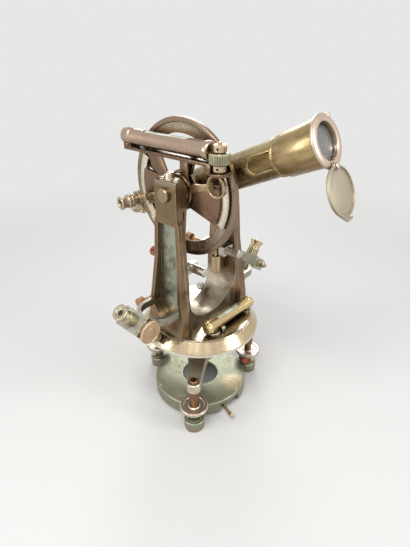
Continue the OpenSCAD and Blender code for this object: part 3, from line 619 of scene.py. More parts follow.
def cream_band(made, tone, small):
    """The inner band is silvered and graduated, the rim is bronzed"""
    degrees, radius = turn_about_axis(made)
    band = made.between(radius, *CREAM_BAND)
    band = made.times(band, made.math("GREATER_THAN", made.parts()[0], (FACE_X - 1.2) * MM))
    tone = made.mix(band, tone, made.mix(made.ramp(small, 0.3, 0.7), (0.78, 0.69, 0.55), (0.56, 0.45, 0.33)))
    marks = scale_lines(made, degrees, radius, (0.5, 0.09, 0.0612, 0.0634), (5, 0.13, 0.0590, 0.0634))
    return made.mix(made.times(band, marks), tone, INK)


def vernier_scale(made, tone, small):
    """Lines that are a little closer than those of the circle"""
    degrees, radius = turn_about_axis(made)
    marks = scale_lines(made, degrees, radius, (0.483, 0.09, 0.0588, 0.0612), (4.83, 0.14, 0.0570, 0.0612))
    return made.mix(marks, tone, INK)


# Pieces


def telescope_tube():
    place = along_telescope()
    olive = aged_metal("telescope_brass", "olive_brass", (0.22, 0.14, 0.06), patch=30, pit=0.1, wear=0.7,
                       grime_and_shade=0.6, zones=streaks)
    tube = turned("scope_tube", [
        (6.75, -71), (9, -71), (10.2, -69), (13.3, -59), (14.3, -56), (16.3, -55), (16.3, 103.6), (17.4, 104),
        (17.4, 105.8), (16.7, 106.2), (16.7, 106.8), (17.4, 107.2), (17.4, 108.2), (18.8, 112), (19.3, 144.8),
        (16.4, 144.8), (16.4, 116), (14.3, 108), (14.3, -53), (6.75, -57), (6.75, -71)], 128)
    border = tube_border(tube)
    boss = turned("pinion_boss", [(5, 11), (5, 16.8), (4.4, 17.3)], 48)
    move(boss, frame_at((0, 10.4, -45), (0, 0, 1), (0, 1, 0)))
    tube = joined("scope_tube", tube, border, boss)
    finished(move(tube, place), "telescope", "olive_brass", olive, 0.2, "telescope_tube")
    lining = turned("scope_lining", [(14.2, -50), (14.2, 108), (15.6, 116), (15.6, 139)], 96)
    pick(lining)
    edit_faces(lining, lambda face: face.center.z > 0.138)
    bpy.ops.mesh.inset(thickness=0.6 * MM)
    bpy.ops.transform.translate(value=(0, 0, -0.07))
    mode("OBJECT")
    finished(move(lining, place), "telescope", "dark_bronze", blackened("inner_black"), 0)


def tube_border(tube):
    """A raised band, round behind and open towards the rings, wrapped on the tube"""
    outer, inner, middle, front, depth = 8.3, 6.9, 82.8, 104, 30
    sides = [(front, -outer)] + moved(arc(outer, -90, -270, 28), middle, 0) + [(front, outer)]
    draw_chain([(depth, across, along) for along, across in sides], (depth, 0, 0))
    extrude((0, 0, 0))
    shrink = inner / outer
    bpy.ops.transform.resize(value=(1, shrink, shrink), center_override=(depth * MM, 0, middle * MM))
    mode("OBJECT")
    band = bpy.context.object
    reach = (middle + (front - middle) * shrink) * MM
    for point in band.data.vertices:
        point.select = abs(point.co.z - reach) < 1e-5
    mode("EDIT")
    bpy.ops.transform.translate(value=(0, 0, front * MM - reach))
    mode("OBJECT")
    move(band, Matrix.Identity(4))
    modified(band, "SHRINKWRAP", target=tube, wrap_method="PROJECT", use_project_x=True, use_project_y=False,
             use_project_z=False, use_negative_direction=True, use_positive_direction=False)
    modified(band, "SOLIDIFY", thickness=1.4 * MM, offset=0)
    edit_points()
    return close_mesh("tube_border")


def objective_cell():
    place = along_telescope()
    pale = aged_metal("cell_brass", (0.66, 0.52, 0.42), "aged_brass", rough=0.34, blotch=0.3, pit=0.1)
    ring = turned("cell_ring", [
        (15, 136), (16.35, 136), (16.35, 144.8), (20.9, 144.8), (21.7, 145.6), (21.7, 147), (20.6, 147.8),
        (17.6, 148.2), (15.8, 148.2), (15, 147.4), (15, 136)], 128)
    lug = turned("cap_lug", [(3.4, 144.9), (3.4, 148.1)], 40)
    pin = turned("cap_pin", [(1.15, 147), (1.15, 151.3), (2.6, 151.3), (2.6, 152.1), (1.9, 152.5)], 40)
    hinge = shift(*HINGE, 0)
    move(lug, hinge)
    move(pin, hinge)
    stud = turned("cap_stud", [(2, 145), (2, 147.6), (1.4, 148.1), (0.8, 148.3)], 32)
    move(stud, shift(-10.9, -19.2, 0))
    ring = joined("cell_ring", ring, lug, pin, stud)
    finished(move(ring, place), "telescope", "pink_brass", pale, 0.15, "objective_cell")
    dome = [(15 * math.cos(k), 143 + 1.6 * math.sin(k)) for k in (0.25, 0.5, 0.75, 1.0, 1.25, 1.45)]
    lens = turned("cell_glass", [(14.95, 138), (14.95, 143)] + dome)
    finished(move(lens, place), "telescope", "lens_glass", glass("lens_glass", (0.80, 0.83, 0.80)), 0,
             "objective_lens")


def lens_cap():
    """A thin dished disc with a pointed tip and a notch for the stud"""
    radius, middle = 20.5, 19.8
    disc = moved(arc(radius, 140, 400, 72), 0, middle)
    tip = [(13.5, 35.3), (1, 44), (0, 44.4), (-8.6, 43.6), (-9.2, 42)]
    notch = [(-8.4, 41.7)] + moved(arc(1.8, 90, -90, 12), -6.6, 39.9) + [(-9.6, 38.1)]
    outline = [(x, y) for x, y in disc if y < 35.2] + tip + notch + [(-13.4, 35.3)]
    face = plate("cap_disc", outline, 1.3)
    rim = turned("cap_rim", [
        (19.1, 0), (radius, 0), (radius, 2), (19.9, 2.2), (19.4, 2.2), (19.1, 1.9), (19.1, 0)], 96)
    move(rim, shift(0, middle, 0.2))
    eye = turned("cap_eye", [(1.25, 0), (3.4, 0), (3.4, 2.6), (1.25, 2.6), (1.25, 0)], 40)
    hole = turned("cap_hole", [(1.25, -1), (1.25, 4)], 40)
    cap = joined("objective_flap", cut(face, hole), rim, eye)
    move(cap, shift(*HINGE, CAP_Z))
    tan = aged_metal("cap_brass", (0.44, 0.38, 0.28), (0.33, 0.27, 0.19), rough=0.5, metallic=0.75,
                     blotch=0.35, pit=0.1, grime_and_shade=0.35)
    finished(move(cap, along_telescope()), "objective_cap", "pink_brass", tan, 0.15, "objective_cap")


def eye_end():
    place = along_telescope()
    bright = aged_metal("eye_brass", "bright_brass", "aged_brass", rough=0.22, blotch=0.35, pit=0.12)
    tube = turned("focus_tube", [
        (5.65, -104), (11.2, -104), (12, -103.2), (12, -92.8), (11.2, -92), (6.7, -92), (6.7, -30),
        (5.65, -30), (5.65, -104)], 72)
    first = slotted_screw("reticle_screw", 1.6, 1.6)
    move(first, frame_at((11.8, 0, -98), (0, 1, 0), (0, 0, 1)))
    screws = [copied(first, spin(45 + 90 * k)) for k in range(4)]
    discard(first)
    tube = joined("focus_tube", tube, *screws)
    finished(move(tube, place), "eye_draw_tube", "aged_brass", bright, 0.2, "eye_draw_tube")
    eye = turned("eye_cup", [
        (3.4, -115.4), (4, -116), (6.6, -118), (8.6, -118), (8.6, -115.6), (7.6, -113.4), (7.6, -108.8),
        (7, -108.4), (5.6, -108.4), (5.6, -96)], 72)
    finished(move(eye, place), "eyepiece", "bright_brass", bright, 0.2, "eyepiece")


def vertical_circle():
    rim = turned("circle_rim", [
        (54, 0), (67.7, 0), (68.5, 0.8), (68.5, 4.6), (68.1, 5), (63.9, 5), (63.4, 4.6), (63.4, 4.2),
        (54, 4.2), (54, 0)], 192)
    hub = turned("circle_hub", [(20, 0.2), (20, 3.7), (19.4, 4.2)], 96)
    spoke = plate("circle_spoke", [(17, -4.6), (54.6, -3.4), (54.6, 3.4), (17, 4.6)], 3)
    move(spoke, shift(0, 0, 0.8))
    spokes = [copied(spoke, Matrix.Rotation(TILT + math.radians(45 + 90 * k), 4, "Z")) for k in range(4)]
    discard(spoke)
    bronze = aged_metal("circle_bronze", (0.31, 0.22, 0.155), (0.15, 0.085, 0.05), patch=40, pit=0.12,
                        wear=0.8, zones=cream_band)
    wheel = joined("circle_wheel", rim, hub, *spokes)
    finished(move(wheel, on_circle(WHEEL_X)), "telescope", "dark_bronze", bronze, 0.2, "vertical_circle")


def index_frame():
    wing = [(-1, -13), (16, -14.5)] + arc(52.4, -27, 15.5, 18) + [(14, 9.5), (-1, 9.5)]
    front = plate("wing_front", wing, 4.2)
    rear = plate("wing_rear", [(-x, y) for x, y in wing], 4.1)
    for part in (front, rear):
        move(part, on_circle(25.05))
    top = LEVEL_Z - 12.4 - AXIS_Z
    parts = [
        plate("strut_rear", [(-6, 8), (-17, 17.7), (-25, top), (-42, top), (-38, 18), (-12, 2)], 3),
        plate("strut_front", [(2, 8), (3, top), (13, top), (12, 8)], 2.9),
        plate("leg", [(-9, -8), (-4, -66), (-4, -88), (4, -88), (4, -66), (9, -8)], 3.3),
        turned("hub_plate", [(17, 0), (17, 3.4), (16.4, 3.9)], 96),
        turned("hub_boss", [(10, 0), (10, 8.8)], 72),
    ]
    for part in parts:
        move(part, on_circle(HUB_X))
    body = joined("index_web", front, rear, *parts)
    bronze = aged_metal("web_bronze", (0.24, 0.15, 0.095), (0.12, 0.065, 0.035), rough=0.32, pit=0.12)
    finished(body, "index_frame", "aged_brass", bronze, 0.25, "index_frame")
    silver = aged_metal("vernier_silver", (0.80, 0.72, 0.58), (0.66, 0.56, 0.42), rough=0.36, pit=0.08,
                        blotch=0.35, grime_and_shade=0.3, wear=0.2, zones=vernier_scale)
    blades = []
    for first, last in ((-27, 28), (152, 207)):
        outline = arc(61, first, last, 40) + arc(52.6, last, first, 40)
        blades.append(move(plate("vernier_blade", outline, 1.4), on_circle(VERNIER_X)))
    finished(joined("vernier_blades", *blades), "index_frame", "silvered", silver, 0.1, "verniers")


def rear_reader():
    lean = spin(10, "Y")
    tube = turned("reader_tube", [
        (4.9, 0.4), (5.35, 1), (5.35, 13.5), (7.3, 14), (7.3, 16.4), (6.6, 17), (7.3, 17.6), (7.3, 20),
        (6.2, 20.8), (6, 25.6), (7, 27), (7, 28.6), (6.4, 29), (4.2, 29), (3.6, 28), (3.6, 24)], 72)
    collar = turned("reader_collar", [(5.3, 4.5), (8.4, 4.5), (8.4, 9), (5.3, 9), (5.3, 4.5)], 72)
    tube = joined("reader_tube", tube, collar)
    move(tube, shift(READER_R, 0, 0) @ lean)
    arm = joined("reader_arm", turned("arm_hub", [(14.2, 0), (14.2, 1), (13.8, 1.1)], 72),
                 plate("arm_bar", [(8, -4), (44, -3.2), (44, 3.2), (8, 4)], 1.05),
                 move(plate("arm_post", oblong(40.5, -3.4, 47, 3.4), 8.6), shift(0, 0, 0.1)))
    whole = joined("rear_reader", arm, tube)
    move(whole, spin(READER_TURN))
    brass = aged_metal("reader_brass", (0.50, 0.42, 0.29), "bronze", rough=0.38, pit=0.12, blotch=0.35)
    finished(move(whole, on_circle(READER_X)), "magnifier_rear", "aged_brass", brass, 0.2, "magnifier_rear")
    # Painted shade: a dark disc inside the tube's end stands for the shaded look into the reading lens.
    eye = turned("reader_eye", [(3.5, 24.2), (2.6, 24.3)], 48)
    move(eye, spin(READER_TURN) @ shift(READER_R, 0, 0) @ lean)
    finished(move(eye, on_circle(READER_X)), "magnifier_rear", "lens_glass", blackened("eye_black"), 0)


def front_reader():
    """The front reading lens is lost, so its ring is open"""
    ring = turned("ring_holder", [
        (8.5, 4.6), (9.6, 4.6), (10, 5), (10, 8.2), (10.3, 8.6), (10.3, 9), (8.9, 9), (8.5, 8.6),
        (8.5, 4.6)], 80)
    move(ring, shift(RING_R, 0, 0))
    arm = joined("front_reader", turned("arm_hub", [(14.2, 0), (14.2, 0.9), (13.8, 1)], 72),
                 plate("arm_bar", [(8, -3.6), (46, -2.8), (46, 2.8), (8, 3.6)], 0.95),
                 plate("arm_post", oblong(44.6, -2.9, 49.4, 2.9), 8.2), ring)
    move(arm, spin(RING_TURN))
    brass = aged_metal("ring_brass", (0.42, 0.31, 0.19), "bronze", wear=1.0)
    finished(move(arm, on_circle(RING_X)), "magnifier_front", "aged_brass", brass, 0.15, "magnifier_front")


def level_tube():
    copper = aged_metal("level_copper", (0.50, 0.37, 0.28), (0.26, 0.155, 0.10), rough=0.28, patch=34,
                        blotch=0.42, pit=0.1, wear=0.9)
    tube = turned("level_barrel", [
        (5.2, -69.4), (6.9, -69), (7.5, -68.2), (7.5, -63.2), (8.5, -63), (8.6, -57), (7.8, -56.3),
        (7.8, 41.3), (8.6, 42), (8.6, 47), (8, 48), (6, 48.3)], 96)
    slot = plate("slot", arc(3.6, 180, 360, 12) + [(3.6, 54)] + moved(arc(3.6, 0, 180, 12), 0, 54), 12)
    move(tube, along_level(LEVEL_Z))
    move(slot, shift(LEVEL_X, -36, LEVEL_Z + 2))
    cut(tube, slot)
    lug = cog("level_lug", 9.4, 8.5, 26, 9, 0.6)
    move(lug, shift(LEVEL_X, NUT_Y, LEVEL_Z - 9.5))
    rings = turned("lug_rings", [(8, -9.7), (8, -0.3), (7.2, 0)], 64)
    move(rings, shift(LEVEL_X, NUT_Y, LEVEL_Z))
    tongue = plate("level_tongue", oblong(-4.4, 44, 4.4, 52), 5.6)
    move(tongue, shift(LEVEL_X, 0, LEVEL_Z - 7))
    tube = joined("level_barrel", tube, tongue)
    finished(tube, "index_frame", "pink_brass", copper, 0.25, "level_tube")
    green = aged_metal("lug_green", (0.38, 0.36, 0.24), (0.50, 0.38, 0.22), rough=0.36, patch=90, pit=0.3)
    finished(joined("level_lug", lug, rings), "index_frame", "pink_brass", green, 0.12)


def level_strip():
    bronze = aged_metal("strip_bronze", (0.22, 0.14, 0.09), (0.12, 0.07, 0.04), rough=0.32, patch=50)
    left, right = 26.8 - LEVEL_X, 6
    strip = plate("level_strip", [(left, -66), (right, -66), (right, 47), (3, 51), (left, 51)], 3)
    move(strip, shift(LEVEL_X, 0, LEVEL_Z - 12.5))
    pad = turned("strip_pad", [(10, 0), (10, 2.1), (9.5, 2.5)], 72)
    move(pad, shift(LEVEL_X, NUT_Y, LEVEL_Z - 19))
    drop = plate("strip_drop", oblong(-6, 44, 6, 51), 8)
    move(drop, shift(LEVEL_X, 0, LEVEL_Z - 18.8))
    clamp = plate("level_clamp", oblong(-6.4, -65.6, 6.4, -55), 12)
    move(clamp, shift(LEVEL_X, 0, LEVEL_Z - 12.3))
    bolt = turned("clamp_bolt", [(2.6, 0), (2.6, 1.2), (1.9, 1.8)], 40)
    move(bolt, frame_at((LEVEL_X + 6.2, -60, LEVEL_Z - 7.5), (0, 1, 0), (0, 0, 1)))
    strip = joined("level_strip", strip, pad, drop, clamp, bolt)
    finished(strip, "index_frame", "dark_bronze", bronze, 0.3, "level_carrier")


def level_nuts():
    stem = turned("nut_stem", [(2, -16.4), (2, 8.4), (1.4, 9)], 40)
    nut = turned("capstan_nut", [(5.3, 0), (6, 0.6), (6, 5.6), (5.3, 6.2), (3.2, 6.2), (2.6, 5.9)], 64)
    for k in range(2):
        rod = turned("nut_drill", [(1.1, -9), (1.1, 9)], 20)
        move(rod, shift(0, 0, 3.1) @ spin(90 * k + 20) @ spin(90, "X"))
        cut(nut, rod)
    lower = copied(nut, shift(0, 0, -16.2))
    move(nut, shift(0, 0, 0.4))
    whole = move(joined("capstan_nuts", stem, nut, lower), shift(LEVEL_X, NUT_Y, LEVEL_Z))
    brass = aged_metal("nut_brass", (0.66, 0.50, 0.34), "copper", rough=0.28, patch=90, blotch=0.35)
    finished(whole, "index_frame", "copper_brass", brass, 0.2, "level_nuts")


def level_vial():
    vial = turned("level_glass", [
        (2, -38.4), (4.6, -37.6), (5.6, -36), (5.75, -9), (5.6, 18), (4.6, 19.6), (2, 20.4)], 64)
    move(vial, along_level(LEVEL_Z + 1.8))
    finished(vial, "index_frame", "vial_glass", vial_paint("vial_fluid", -9), 0, "level_vial")


def along_microscope(i):
    """Local z runs from the eye down the microscope's axis"""
    hand, lean = 1 - 2 * i, math.radians(38)
    return frame_at((EYE_X * hand, 0, EYE_Z), (-math.cos(lean) * hand, 0, math.sin(lean)), (0, hand, 0))


def micrometer_drum(place, mark, copper):
    face = turned("drum_" + mark, [
        (8.9, 0), (8.9, 2.8), (11.2, 3.2), (11.7, 4.1), (11.7, 7.3), (11.1, 7.9), (10.5, 7.6), (10.1, 6.7),
        (5.4, 6.9), (4.9, 7.7), (3.1, 8.3), (1.4, 8.3)], 96)
    edge = cog("drum_edge_" + mark, 12.4, 11.9, 64, 2.8, 0.4)
    move(edge, shift(0, 0, 4.3))
    shaft = turned("drum_shaft_" + mark, [(2, -13), (2, 0.5)], 32)
    whole = joined("drum_" + mark, face, edge, shaft)
    move(whole, place @ frame_at((0, 17.3, 28), (1, 0, 0), (0, 0, -1)))
    finished(whole, "micrometer_drum_" + mark, "pink_brass", copper, 0.1, "micrometer_drum_" + mark)


def bowl_bolt():
    """The milled head that stands on the floor of the bowl"""
    silver = aged_metal("bolt_silver", (0.66, 0.62, 0.55), (0.34, 0.28, 0.20), rough=0.28, patch=90)
    head = cog("bowl_bolt", 5, 4.5, 30, 3.6, 0.5)
    ring = turned("bolt_ring", [(3.6, 3.4), (3.6, 4.3), (3.1, 4.6), (2.4, 4.6), (2.2, 4)], 48)
    foot = turned("bolt_foot", [(3.4, -2.4), (3.4, 0.4)], 40)
    lean = math.asin(19.7 / 39)
    spot = frame_at((-19.4, -16, 136.9), (math.cos(lean), 0, -math.sin(lean)), (0, 1, 0))
    finished(move(joined("bowl_bolt", head, ring, foot), spot), "alidade", "steel", silver, 0.1)


def inner_cap_edge():
    """The side of the near cap that faces the telescope"""
    return min(point.co.x for point in NODES["trunnion_caps"].data.vertices if point.co.x > 0)


def stage_floor(sizes):
    bpy.ops.mesh.primitive_plane_add(size=8, location=(0, 0, 0))
    plane = bpy.context.object
    plane.name = "floor"
    made = Recipe("floor_paint")
    tone = made.mix(made.noise(3, 3), tuple(sizes.floor), tuple(0.985 * c for c in sizes.floor))
    away = made.add("ShaderNodeVectorMath", operation="LENGTH")
    made.join(made.place, away.inputs[0])
    faded = made.ramp(away.outputs["Value"], *FLOOR_FADE)
    made.surface({"Base Color": tone, "Roughness": 0.7, "Alpha": faded})
    plane.data.materials.append(made.material)


def stage_world(sizes):
    world = bpy.data.worlds.new("studio")
    bpy.context.scene.world = world
    world.use_nodes = True
    tree = world.node_tree
    tree.nodes.clear()
    out = tree.nodes.new("ShaderNodeOutputWorld")
    choice = tree.nodes.new("ShaderNodeMixShader")
    shades = (((0.55, 0.56, 0.58), 0.75), (sizes.backdrop, 1.0))
    for number, (tone, strength) in enumerate(shades, 1):
        shade = tree.nodes.new("ShaderNodeBackground")
        shade.inputs["Color"].default_value = (*tone, 1)
        shade.inputs["Strength"].default_value = strength
        tree.links.new(shade.outputs[0], choice.inputs[number])
    path = tree.nodes.new("ShaderNodeLightPath")
    total = path.outputs["Is Camera Ray"]
    for ray in ("Is Glossy Ray", "Is Transmission Ray"):
        both = tree.nodes.new("ShaderNodeMath")
        both.operation = "MAXIMUM"
        tree.links.new(total, both.inputs[0])
        tree.links.new(path.outputs[ray], both.inputs[1])
        total = both.outputs[0]
    tree.links.new(total, choice.inputs["Fac"])
    tree.links.new(choice.outputs[0], out.inputs["Surface"])


def stage_lamps(sizes):
    """Four soft lamps, and a fan of narrow ones that draws bright lines on the bevel"""
    lamps = [
        ("key", (0.55, 0.25, 1.05), (0, 0, 0.2), 0.55, 0.35, 11),
        ("side", (-0.35, 1.0, 0.75), (0, 0, 0.2), 0.35, 0.5, 7),
        ("left", (1.05, -0.45, 0.55), (0, 0, 0.2), 0.2, 0.6, 5),
        ("back", (-0.8, -0.7, 0.8), (0, 0, 0.25), 0.5, 0.3, 7),
    ]
    away, height = 0.72, 0.86
    for number, degrees in enumerate((6, 24, 37, 58, 80)):
        at = (*polar(away, degrees), height)
        lamps.append(("strip_%d" % number, at, (0, 0, 0.12), 0.035, 0.34, 0.22))
    for name, at, to, wide, tall, power in lamps:
        lamp = bpy.data.lights.new(name, "AREA")
        lamp.shape = "RECTANGLE"
        lamp.size = wide
        lamp.size_y = tall
        lamp.energy = power * sizes.lamp
        aimed(name, lamp, Vector(at), Vector(to) - Vector(at))


def stage_camera(sizes):
    data = bpy.data.cameras.new("camera")
    data.lens = sizes.lens
    data.sensor_width = 36
    data.sensor_fit = "AUTO"
    data.clip_start = 0.01
    at = Vector((296.6, 276.8, 392.3)) * MM
    ahead = Vector((-0.6499, -0.5879, -0.4818))
    bpy.context.scene.camera = aimed("camera", data, at, ahead)


def aimed(name, data, at, ahead):
    obj = bpy.data.objects.new(name, data)
    bpy.context.scene.collection.objects.link(obj)
    obj.location = at
    obj.rotation_euler = ahead.to_track_quat("-Z", "Y").to_euler()
    return obj


# Operators


class TheodoliteStep(bpy.types.Operator):
    bl_options = {"REGISTER", "UNDO"}


class THEODOLITE_OT_finish_base(TheodoliteStep):
    """Gives the levelling base and its screws their finishes"""

    bl_idname = "theodolite.finish_base"
    bl_label = "Finish the base"

    def execute(self, context):
        dress(aged_metal("verdigris_cover", "green_grey", (0.40, 0.38, 0.27), rough=0.42, metallic=0.75,
                         patch=38, blotch=0.62, pit=0.35, zones=brass_patch), "base_cover")
        dress(aged_metal("verdigris_rim", "green_grey", "aged_brass", rough=0.42, metallic=0.8, patch=40,
                         blotch=0.6, pit=0.4), "base_plate", "foot_keepers", "lock_ring")
        dress(aged_metal("pad_copper", "copper", "pink_brass", rough=0.34), "foot_pads")
        dress(aged_metal("stem_copper", (0.24, 0.13, 0.065), "tarnish_and_shade", patch=70, blotch=0.45),
              "foot_screw_a", "foot_screw_b", "foot_screw_c")
        dress(aged_metal("wheel_brass", (0.62, 0.54, 0.46), (0.30, 0.24, 0.19), rough=0.38, patch=60,
                         blotch=0.6, pit=0.4), "foot_wheel_a", "foot_wheel_b", "foot_wheel_c")
        dress(aged_metal("lever_brass", "bright_brass", "aged_brass", rough=0.22), "lock_lever",
              "base_screws")
        dress(aged_metal("tribrach_brass", (0.64, 0.58, 0.46), "olive_grey", rough=0.36, patch=50, pit=0.35),
              "tribrach")
        dress(aged_metal("clamp_bronze", "bronze", "aged_brass", rough=0.32), "lower_clamp_knob",
              "lower_tangent_screw", "lower_clamp_collar")
        dress(aged_metal("knob_copper", "red_copper", "copper", rough=0.25, patch=80), "base_lock_knob",
              "index_screw")
        return {"FINISHED"}


class THEODOLITE_OT_finish_plates(TheodoliteStep):
    """Gives the limb, the upper plate and what stands on it their finishes"""

    bl_idname = "theodolite.finish_plates"
    bl_label = "Finish the plates"

    def execute(self, context):
        dress(aged_metal("limb_silver", "silver", "pink_brass", blotch=0.35), "horizontal_circle")
        dress(aged_metal("spindle_steel", "steel", "aged_brass"), "alidade_spindle", "limb_spindle")
        dress(aged_metal("plate_brass", "bright_brass", "aged_brass", rough=0.2, blotch=0.3, patch=40,
                         zones=bevel_band), "upper_plate")
        dress(aged_metal("bright_brass", "bright_brass", "aged_brass", rough=0.2, patch=60, blotch=0.4,
                         pit=0.15), "vertical_clamp_knob")
        dress(aged_metal("mount_brass", "aged_brass", "olive_grey", rough=0.32), "plate_level_mounts",
              "upper_tangent_bracket", "trunnion_axis", "vertical_arm")
        dress(aged_metal("screw_copper", "copper", "bright_brass", rough=0.24, patch=90),
              "upper_tangent_screw", "vertical_tangent_screw", "focus_knob")
        return {"FINISHED"}


class THEODOLITE_OT_finish_standards(TheodoliteStep):
    """Gives the standards and the microscopes their finishes"""

    bl_idname = "theodolite.finish_standards"
    bl_label = "Finish the standards"

    def execute(self, context):
        dress(aged_metal("standard_bronze", (0.25, 0.17, 0.10), (0.12, 0.075, 0.04), rough=0.34, patch=50,
                         blotch=0.62, pit=0.3, wear=0.8, zones=panel_and_bowl), "standards")
        dress(aged_metal("cap_bronze", (0.36, 0.29, 0.21), "bronze", patch=60), "trunnion_caps")
        dress(aged_metal("clip_silver", (0.58, 0.54, 0.48), (0.30, 0.20, 0.14), blotch=0.55), "clip_brackets")
        dress(aged_metal("bow_grey", (0.34, 0.32, 0.27), "bronze", rough=0.34), "microscope_brackets")
        dress(aged_metal("box_grey", (0.52, 0.52, 0.44), (0.27, 0.27, 0.19), rough=0.36, metallic=0.85,
                         patch=90, blotch=0.55, pit=0.4), "micrometer_boxes")
        dress(aged_metal("tube_brass", (0.45, 0.38, 0.24), "olive_grey"), "microscope_tubes", "spring_caps")
        dress(aged_metal("under_copper", "copper", "bronze"), "micrometer_drum_a", "micrometer_drum_b",
              "microscope_eyepiece_a", "microscope_eyepiece_b", "plate_level_tube", "cap_screws",
              "plate_level_vial")
        return {"FINISHED"}


class THEODOLITE_OT_telescope(TheodoliteStep):
    """Models the telescope's tube, cell, cap, focusing tube and eyepiece"""

    bl_idname = "theodolite.telescope"
    bl_label = "Telescope"

    def execute(self, context):
        telescope_tube()
        objective_cell()
        lens_cap()
        eye_end()
        return {"FINISHED"}


class THEODOLITE_OT_circle(TheodoliteStep):
    """Models the vertical circle, its index frame with the verniers, and the rear reading lens"""

    bl_idname = "theodolite.circle"
    bl_label = "Vertical circle"

    def execute(self, context):
        vertical_circle()
        index_frame()
        rear_reader()
        front_reader()
        return {"FINISHED"}


class THEODOLITE_OT_level(TheodoliteStep):
    """Models the altitude level with its strip, clamp and capstan nuts"""

    bl_idname = "theodolite.level"
    bl_label = "Altitude level"

    def execute(self, context):
        level_tube()
        level_strip()
        level_nuts()
        level_vial()
        return {"FINISHED"}


class THEODOLITE_OT_microscopes(TheodoliteStep):
    """Models the eyepieces, drums and screws of the two micrometer microscopes"""

    bl_idname = "theodolite.microscopes"
    bl_label = "Microscopes"

    def execute(self, context):
        cream = aged_metal("eyepiece_cream", (0.55, 0.49, 0.36), (0.34, 0.33, 0.24), patch=90, pit=0.2)
        yellow = aged_metal("eyepiece_brass", "bright_brass", "aged_brass", rough=0.22, blotch=0.4, pit=0.15)
        copper = aged_metal("drum_copper", (0.50, 0.34, 0.21), (0.28, 0.15, 0.08), rough=0.32, patch=110,
                            blotch=0.55, pit=0.3, wear=1.0)
        black = blackened("ocular_black")
        screw = slotted_screw("box_screw", 1.5, 0.9)
        for i, mark, brass in ((0, "a", cream), (1, "b", yellow)):
            place = along_microscope(i)
            eye = turned("ocular_" + mark, [
                (3.1, 1.5), (4.2, 1.2), (5.2, 0), (8.2, 0), (8.6, 0.4), (8.6, 2.2), (7.6, 3.2), (6.9, 6),
                (6.6, 9), (7.3, 9.5), (7.3, 10.5), (6.9, 10.9), (7.3, 11.3), (7.3, 13.6), (5.5, 13.6),
                (5.5, 22)], 80)
            body = "microscope_eyepiece_" + mark
            finished(move(eye, place), body, "bright_brass", brass, 0.15, body)
            # Painted shade: a dark disc on the closed eye end stands for the shaded opening of the eye lens.
            hole = turned("ocular_hole_" + mark, [(3.05, 1.42), (2.4, 1.44)], 40)
            finished(move(hole, place), body, "lens_glass", black, 0)
            micrometer_drum(place, mark, copper)
            corners = [(x, y, 21.05) for x in (-8.6, 8.6) for y in (-14.4, 14.4)]
            screws = [copied(screw, place @ frame_at(spot, (1, 0, 0), (0, -1, 0))) for spot in corners]
            finished(joined("box_screws_" + mark, *screws), "alidade", "copper_brass", copper, 0.08)
        discard(screw)
        return {"FINISHED"}


class THEODOLITE_OT_plate_level(TheodoliteStep):
    """Models the level on the upper plate"""

    bl_idname = "theodolite.plate_level"
    bl_label = "Plate level"

    def execute(self, context):
        brass = aged_metal("plate_level_brass", (0.68, 0.52, 0.27), "aged_brass", rough=0.24, patch=60,
                           blotch=0.35, pit=0.12)
        along = frame_at((0, PLATE_LEVEL_Y, 127.2), (0, 0, -1), (0, 1, 0))
        tube = turned("plate_barrel", [
            (4.6, -46.6), (6, -46.4), (6.6, -45.6), (7, -45), (7, -41.2), (6.2, -40.6), (6.2, 22),
            (6.9, 22.6), (6.9, 26.6), (7.5, 27.2), (7.5, 29.6), (6.4, 30.4), (6.2, 32.6), (4.4, 33.2)], 80)
        move(tube, along)
        ends = moved(arc(2.9, 90, 270, 12), -19, 0) + moved(arc(2.9, -90, 90, 12), 13, 0)
        slot = plate("plate_slot", ends, 9)
        cut(tube, move(slot, shift(-2, PLATE_LEVEL_Y, 128.4)))
        finished(tube, "alidade", "bright_brass", brass, 0.2, "plate_level_tube")
        vial = turned("plate_glass", [
            (1.6, -23.4), (3.6, -22.8), (4.3, -21.6), (4.4, -5), (4.3, 11.6), (3.6, 12.8), (1.6, 13.4)], 56)
        move(vial, frame_at((0, PLATE_LEVEL_Y, 128.6), (0, 0, -1), (0, 1, 0)))
        finished(vial, "alidade", "vial_glass", vial_paint("plate_fluid", -5, 0, 0.6), 0, "plate_level_vial")
        grey = aged_metal("flange_grey", (0.50, 0.47, 0.38), "olive_grey", rough=0.34)
        flange = turned("level_flange", [(8.4, 0), (8.4, 1.2), (7.8, 1.7), (3.4, 2.1)], 64)
        move(flange, shift(21, PLATE_LEVEL_Y, PLATE_Z))
        knob = turned("level_ball", [
            (1.6, 0), (1.4, 1.4), (2.2, 2.2), (2.9, 3.4), (2.9, 4.4), (2.2, 5.6), (0.8, 6.2)], 40)
        move(knob, shift(12, PLATE_LEVEL_Y + 7, PLATE_Z))
        finished(joined("level_flange", flange, knob), "alidade", "base_brass", grey, 0.15)
        return {"FINISHED"}


